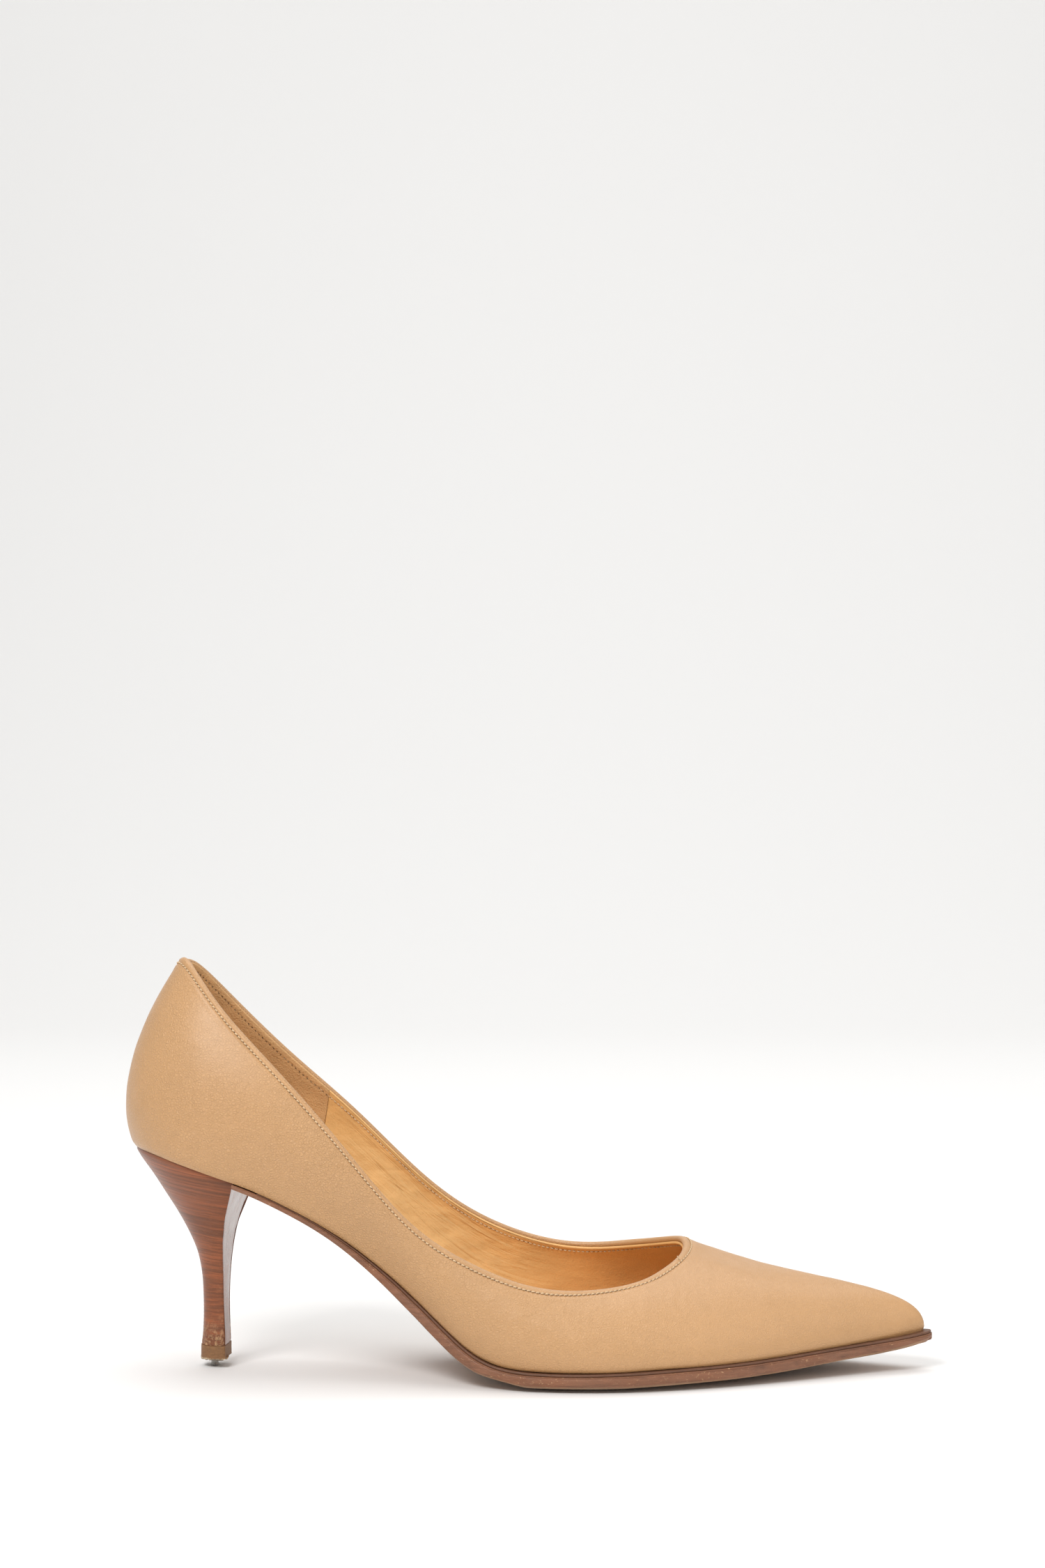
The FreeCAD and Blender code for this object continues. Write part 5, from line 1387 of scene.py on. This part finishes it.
def breast_leather(colours):
    """Polished brown leather, almost mirror smooth at a low angle."""
    recipe = Recipe("polished_breast", Specular_IOR_Level=0.5, Coat_Weight=0.30, Coat_Roughness=0.08)
    brown = colours.heel
    drift = recipe.noise(0.008, 3.0, 0.6)
    fine = recipe.noise(0.0012, 3.0, 0.6)
    colour = recipe.mix(recipe.spread(drift, 0.3, 0.7), shade(brown, 0.75), shade(brown, 1.15))
    colour = recipe.mix(recipe.spread(fine, 0.55, 0.7, 0.0, 0.3), colour, shade(brown, 1.5))
    recipe.wear("Base Color", colour)
    recipe.wear("Roughness", recipe.spread(drift, 0.3, 0.7, 0.20, 0.32))
    recipe.wear("Normal", recipe.bump(recipe.noise(0.004, 2.0), 0.00008))
    return recipe.material


def lift_finish(colours):
    """Worn lift: mid brown, scratched, with a pale torn edge."""
    recipe = Recipe("worn_lift", Specular_IOR_Level=0.28)
    brown = colours.lift
    z = recipe.axis(recipe.coordinates, "Z")
    grain = recipe.noise(0.0014, 4.0, 0.7, (1, 1, 2.5))
    speck = recipe.noise(0.0005, 3.0, 0.7)
    colour = recipe.mix(recipe.spread(grain, 0.3, 0.7), shade(brown, 0.78), shade(brown, 1.18))
    torn = recipe.math("ADD", recipe.spread(z, 0.0034, 0.0026), recipe.spread(speck, 0.4, 0.7, -0.4, 0.3))
    torn = recipe.spread(torn, 0.35, 0.75)
    colour = recipe.mix(torn, colour, (0.60, 0.47, 0.31, 1.0))
    ground = recipe.spread(recipe.axis(recipe.add("NewGeometry", out=1), "Z"), -0.5, -0.9)
    colour = recipe.mix(recipe.math("MULTIPLY", ground, 0.8), colour, (0.16, 0.12, 0.09, 1.0))
    recipe.wear("Base Color", colour)
    recipe.wear("Normal", recipe.bump(recipe.math("ADD", grain, speck), 0.00014))
    recipe.wear("Roughness", recipe.spread(grain, 0.3, 0.7, 0.46, 0.64))
    return recipe.material


def plain_finish(name, colour, metal=0.0, rough=0.6, lump=0.003, stretch=(1, 1, 1), relief=0.0001):
    """Simple worked finish for the pieces hidden inside: fibre, foam, board or steel."""
    recipe = Recipe(name, Metallic=metal, Specular_IOR_Level=0.4)
    grain = recipe.noise(lump, 4.0, 0.65, stretch)
    fine = recipe.noise(lump / 7, 3.0, 0.65, stretch)
    mixed = recipe.mix(recipe.spread(grain, 0.3, 0.7), shade(colour, 0.78), shade(colour, 1.15))
    recipe.wear("Base Color", recipe.mix(recipe.spread(fine, 0.5, 0.75, 0.0, 0.5), mixed,
                                         shade(colour, 0.6)))
    recipe.wear("Roughness", recipe.spread(grain, 0.3, 0.7, rough - 0.08, rough + 0.1))
    recipe.wear("Normal", recipe.bump(recipe.math("ADD", grain, fine), relief))
    return recipe.material


# node: slot, colour, metal, roughness, lump, stretch
HIDDEN = {
    "heel_counter": ("stiff_fibre", (0.50, 0.40, 0.28), 0.0, 0.75, 0.002, (1, 1, 1)),
    "toe_box": ("stiff_fibre_toe", (0.55, 0.47, 0.36), 0.0, 0.75, 0.002, (1, 1, 1)),
    "topline_tape": ("woven_tape", (0.72, 0.70, 0.66), 0.0, 0.8, 0.0006, (1, 1, 1)),
    "back_seam_tape": ("seam_tape", (0.72, 0.70, 0.66), 0.0, 0.8, 0.0006, (1, 1, 1)),
    "heel_screw": ("screw_steel", (0.56, 0.55, 0.53), 1.0, 0.32, 0.001, (1, 1, 6)),
    "heel_nails": ("nail_steel", (0.50, 0.50, 0.49), 1.0, 0.36, 0.001, (1, 1, 6)),
    "heel_core": ("moulded_core", (0.44, 0.38, 0.30), 0.0, 0.45, 0.004, (1, 1, 1)),
    "heel_tube": ("tube_steel", (0.58, 0.58, 0.57), 1.0, 0.3, 0.001, (1, 1, 0.2)),
    "bottom_filler": ("cork_filler", (0.42, 0.26, 0.14), 0.0, 0.85, 0.0018, (1, 1, 1)),
    "insole_board": ("insole_fibre", (0.52, 0.38, 0.24), 0.0, 0.8, 0.0015, (1, 1, 1)),
    "steel_shank": ("spring_steel", (0.36, 0.38, 0.42), 1.0, 0.34, 0.002, (0.2, 1, 1)),
    "shank_rivets": ("rivet_steel", (0.52, 0.52, 0.51), 1.0, 0.35, 0.001, (1, 1, 1)),
    "shank_board": ("grey_board", (0.36, 0.33, 0.29), 0.0, 0.85, 0.0015, (1, 1, 1)),
}


def dress_hidden():
    """Give every CAD node that stays its own worked finish."""
    for node, (name, colour, metal, rough, lump, stretch) in HIDDEN.items():
        material = plain_finish(name, colour, metal, rough, lump, stretch)
        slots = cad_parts[node].material_slots
        for place in slots:
            place.material = material
        if not slots:
            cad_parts[node].data.materials.append(material)


# ------------------------------------------------- stage
CAMERA_PLACE = (0.03791, -0.89872, 0.17345)
CAMERA_TURN = math.radians(2.5)
CAMERA_LENS = 69.6


def make_sweep(colours):
    """Pale floor that curves up into a pale backdrop."""
    recipe = Recipe("pale_sweep", Specular_IOR_Level=0.15)
    pale = colours.floor
    drift = recipe.noise(0.4, 2.0)
    # painted light: the sweep is painted darker on the floor and lighter up the backdrop, to even out the
    # light of the lamps
    height = recipe.spread(recipe.axis(recipe.coordinates, "Z"), 0.0, 1.2, 0.0, 1.0)
    wall = recipe.mix(height, shade(pale, 0.94), shade(pale, 1.04))
    recipe.wear("Base Color", recipe.mix(recipe.spread(drift, 0.3, 0.7, 0.0, 0.02), wall, shade(pale, 0.9)))
    recipe.wear("Roughness", recipe.spread(drift, 0.3, 0.7, 0.75, 0.8))
    width, front, back, bend = 4.0, -3.0, 1.2, 1.1
    path = [(front, 0.0), (-0.5, 0.0), (0.0, 0.0), (0.5, 0.0), (back, 0.0)]
    path += [(back + bend * math.sin(a), bend - bend * math.cos(a))
             for a in np.linspace(0, math.pi / 2, 24)[1:]]
    path.append((back + bend, 4.0))
    verts = [(s * width, y, z) for y, z in path for s in (-1, 1)]
    faces = [(2 * i, 2 * i + 1, 2 * i + 3, 2 * i + 2) for i in range(len(path) - 1)]
    mesh = bpy.data.meshes.new("sweep")
    mesh.from_pydata(verts, [], faces)
    mesh.polygons.foreach_set("use_smooth", [True] * len(mesh.polygons))
    floor = bpy.data.objects.new("sweep", mesh)
    bpy.context.scene.collection.objects.link(floor)
    floor.data.materials.append(recipe.material)


def add_light(name, place, aim, size, power, tint=(1, 1, 1)):
    """Large soft panel that looks at a point."""
    lamp = bpy.data.lights.new(name, "AREA")
    lamp.shape = "RECTANGLE"
    lamp.size, lamp.size_y = size
    lamp.energy = power
    lamp.color = tint
    panel = bpy.data.objects.new(name, lamp)
    panel.location = place
    direction = Vector(aim) - Vector(place)
    panel.rotation_mode = "QUATERNION"
    panel.rotation_quaternion = direction.to_track_quat("-Z", "Y")
    bpy.context.scene.collection.objects.link(panel)


def make_stage(colours, light):
    """Floor, lights, sky and camera."""
    make_sweep(colours)
    scene = bpy.context.scene
    world = bpy.data.worlds.new("pale_sky")
    world.use_nodes = True
    sky = world.node_tree.nodes["Background"]
    sky.inputs["Color"].default_value = (1.0, 0.995, 0.985, 1.0)
    sky.inputs["Strength"].default_value = light.sky_level
    scene.world = world
    add_light("key_panel", (-0.36, -0.82, 0.90), (-0.05, 0.0, 0.07), (0.5, 0.35), light.key_power)
    add_light("fill_panel", (1.3, -0.9, 0.9), (0.02, 0.0, 0.04), (1.2, 1.2), light.fill_power)
    add_light("top_panel", (0.1, 0.35, 1.7), (0.0, 0.0, 0.0), (1.6, 1.6), light.top_power)
    add_light("back_panel", (0.0, 0.6, 1.9), (0.0, 2.4, 0.8), (2.4, 0.6), light.back_power)
    camera = bpy.data.cameras.new("camera")
    camera.sensor_width = 36.0
    camera.sensor_fit = "AUTO"
    camera.lens = CAMERA_LENS
    camera.clip_start, camera.clip_end = 0.05, 20.0
    stand = bpy.data.objects.new("camera", camera)
    stand.location = CAMERA_PLACE
    stand.rotation_euler = (math.pi / 2, 0.0, CAMERA_TURN)
    scene.collection.objects.link(stand)
    scene.camera = stand
    scene.view_settings.view_transform = "Standard"


# ------------------------------------------------- properties
def length(name, description, default):
    """Length property in metres."""
    return FloatProperty(name=name, description=description, default=default, min=0.0,
                         unit="LENGTH", precision=5)


def paint(name, description, default):
    """Colour property."""
    return FloatVectorProperty(name=name, description=description, default=default, size=3,
                               min=0.0, max=1.0, subtype="COLOR")


def power(name, description, default):
    """Light strength property."""
    return FloatProperty(name=name, description=description, default=default, min=0.0)


class PumpSizes(bpy.types.PropertyGroup):
    """Sizes of the worked details."""
    stitch_pitch: length("Stitch pitch", "Length of one stitch of the top edge", 0.00135)
    stitch_inset: length("Stitch inset", "Stitch line below the top edge", 0.0023)
    thread_thick: length("Thread thickness", "Diameter of the sewing thread", 0.00042)
    seam_sink: length("Seam sink", "How far the stitches pull the leather in", 0.00013)
    crease_depth: length("Crease depth", "Depth of the walking creases", 0.00007)
    grain_height: length("Grain height", "Height of the pebbled grain", 0.00014)
    edge_round: length("Sole edge round", "Rounding of the sole's lower edge", 0.0019)
    sole_camber: length("Sole camber", "Lift of the sole's sides off the floor", 0.0012)
    cover_thick: length("Heel cover", "Thickness of the heel covering", 0.0007)
    lift_pitch: length("Lift pitch", "Thickness of one lift of the stacked heel", 0.00105)
    pin_proud: length("Pin proud", "Pin below the worn lift", 0.0019)


class PumpColours(bpy.types.PropertyGroup):
    """Colours of the finishes."""
    upper: paint("Upper", "Upper leather", (0.548, 0.300, 0.124))
    lining: paint("Lining", "Lining leather", (0.76, 0.45, 0.175))
    grip: paint("Heel grip", "Heel grip lining", (0.66, 0.385, 0.17))
    sock: paint("Sock", "Sock leather", (0.72, 0.42, 0.19))
    thread: paint("Thread", "Sewing thread", (0.74, 0.53, 0.31))
    sole: paint("Sole", "Outsole and its edge", (0.215, 0.096, 0.052))
    rand: paint("Rand", "Rand between upper and sole", (0.14, 0.062, 0.033))
    heel: paint("Heel", "Stacked leather of the heel", (0.245, 0.086, 0.038))
    lift: paint("Lift", "Top lift", (0.235, 0.118, 0.052))
    floor: paint("Floor", "Floor and backdrop", (0.905, 0.90, 0.892))


class PumpLight(bpy.types.PropertyGroup):
    """Strength of the soft studio light."""
    sky_level: power("Sky", "Strength of the even light all round", 0.50)
    key_power: power("Key", "Power of the panel at the front left, in watts", 9.4)
    fill_power: power("Fill", "Power of the panel at the front right, in watts", 4.5)
    back_power: power("Back", "Power of the panel that lights the backdrop, in watts", 9.5)
    top_power: power("Top", "Power of the panel overhead, in watts", 15.5)


# ------------------------------------------------- operators
class PUMP_OT_upper(bpy.types.Operator):
    """Build the folded-edge leather upper"""
    bl_idname = "pump.upper"
    bl_label = "Upper"

    def execute(self, context):
        sizes, colours = context.scene.pump_sizes, context.scene.pump_colours
        make_upper(sizes, upper_leather(sizes, colours))
        return {"FINISHED"}


class PUMP_OT_linings(bpy.types.Operator):
    """Build the vamp lining and the heel grip"""
    bl_idname = "pump.linings"
    bl_label = "Linings"

    def execute(self, context):
        sizes, colours = context.scene.pump_sizes, context.scene.pump_colours
        slit = 0.002
        smooth = lining_leather("lining_calf", colours.lining, sizes, 0.48, 0.0)
        napped = lining_leather("heel_grip_suede", colours.grip, sizes, 0.78, 1.0)
        make_lining_piece("lining", GRIP_END + slit, ROUND - GRIP_END - slit, 560, 0.0,
                          "lining", smooth, "vamp_lining", 81)
        make_lining_piece("heel_grip", -GRIP_END, GRIP_END, 230, 0.32,
                          "suede", napped, "heel_grip_lining", 91)
        return {"FINISHED"}


class PUMP_OT_stitching(bpy.types.Operator):
    """Sew the top edge"""
    bl_idname = "pump.stitching"
    bl_label = "Stitching"

    def execute(self, context):
        make_stitching(context.scene.pump_sizes, thread_finish(context.scene.pump_colours))
        return {"FINISHED"}


class PUMP_OT_bottom(bpy.types.Operator):
    """Build the outsole and its rand"""
    bl_idname = "pump.bottom"
    bl_label = "Outsole and rand"

    def execute(self, context):
        sizes, colours = context.scene.pump_sizes, context.scene.pump_colours
        make_outsole(sizes, sole_leather(colours))
        make_rand(plain_finish("dark_rand", colours.rand, 0.0, 0.42, 0.0015, (0.3, 1, 1)))
        return {"FINISHED"}


class PUMP_OT_footbed(bpy.types.Operator):
    """Build the sock and the pads under it"""
    bl_idname = "pump.footbed"
    bl_label = "Sock and pads"

    def execute(self, context):
        sizes, colours = context.scene.pump_sizes, context.scene.pump_colours
        make_sock(lining_leather("sock_calf", colours.sock, sizes, 0.52, 0.15))
        make_pads(plain_finish("latex_foam", (0.78, 0.72, 0.58), 0.0, 0.85, 0.0012))
        return {"FINISHED"}


class PUMP_OT_heel(bpy.types.Operator):
    """Cover the heel and its breast"""
    bl_idname = "pump.heel"
    bl_label = "Heel cover and breast"

    def execute(self, context):
        sizes, colours = context.scene.pump_sizes, context.scene.pump_colours
        make_heel_cover(sizes, stacked_leather(sizes, colours))
        make_breast(sizes, breast_leather(colours))
        return {"FINISHED"}


class PUMP_OT_lift(bpy.types.Operator):
    """Build the worn top lift and its steel pin"""
    bl_idname = "pump.lift"
    bl_label = "Top lift and pin"

    def execute(self, context):
        sizes, colours = context.scene.pump_sizes, context.scene.pump_colours
        make_lift(sizes, lift_finish(colours))
        make_pin(plain_finish("ground_steel", (0.42, 0.40, 0.37), 1.0, 0.4, 0.0007,
                              (1, 1, 0.4), 0.0001))
        return {"FINISHED"}


class PUMP_OT_inside(bpy.types.Operator):
    """Finish the pieces that stay hidden inside"""
    bl_idname = "pump.inside"
    bl_label = "Inside pieces"

    def execute(self, context):
        dress_hidden()
        return {"FINISHED"}


class PUMP_OT_stage(bpy.types.Operator):
    """Set the pale floor, the soft light and the camera"""
    bl_idname = "pump.stage"
    bl_label = "Stage"

    def execute(self, context):
        make_stage(context.scene.pump_colours, context.scene.pump_light)
        return {"FINISHED"}


STEPS = (PUMP_OT_upper, PUMP_OT_linings, PUMP_OT_stitching, PUMP_OT_bottom, PUMP_OT_footbed,
         PUMP_OT_heel, PUMP_OT_lift, PUMP_OT_inside, PUMP_OT_stage)


class PUMP_PT_panel(bpy.types.Panel):
    """Steps, sizes and colours of the pump"""
    bl_idname = "PUMP_PT_panel"
    bl_label = "High Heel Pump"
    bl_space_type = "VIEW_3D"
    bl_region_type = "UI"
    bl_category = "High Heel Pump"

    def draw(self, context):
        for step in STEPS:
            self.layout.operator(step.bl_idname)
        for group in (context.scene.pump_sizes, context.scene.pump_colours, context.scene.pump_light):
            for name in group.__annotations__:
                self.layout.prop(group, name)


GROUPS = (("pump_sizes", PumpSizes), ("pump_colours", PumpColours), ("pump_light", PumpLight))


def register():
    """Register the groups, the operators and the panel."""
    for name, group in GROUPS:
        bpy.utils.register_class(group)
        setattr(bpy.types.Scene, name, PointerProperty(type=group))
    for kind in STEPS + (PUMP_PT_panel,):
        bpy.utils.register_class(kind)


def unregister():
    """Take back everything that register added."""
    for kind in reversed(STEPS + (PUMP_PT_panel,)):
        bpy.utils.unregister_class(kind)
    for name, group in reversed(GROUPS):
        delattr(bpy.types.Scene, name)
        bpy.utils.unregister_class(group)


def main():
    """Build the whole pump and its stage."""
    register()
    for operator in (bpy.ops.pump.upper, bpy.ops.pump.linings, bpy.ops.pump.stitching,
                     bpy.ops.pump.bottom, bpy.ops.pump.footbed, bpy.ops.pump.heel,
                     bpy.ops.pump.lift, bpy.ops.pump.inside, bpy.ops.pump.stage):
        operator()


if __name__ == "__main__":
    main()
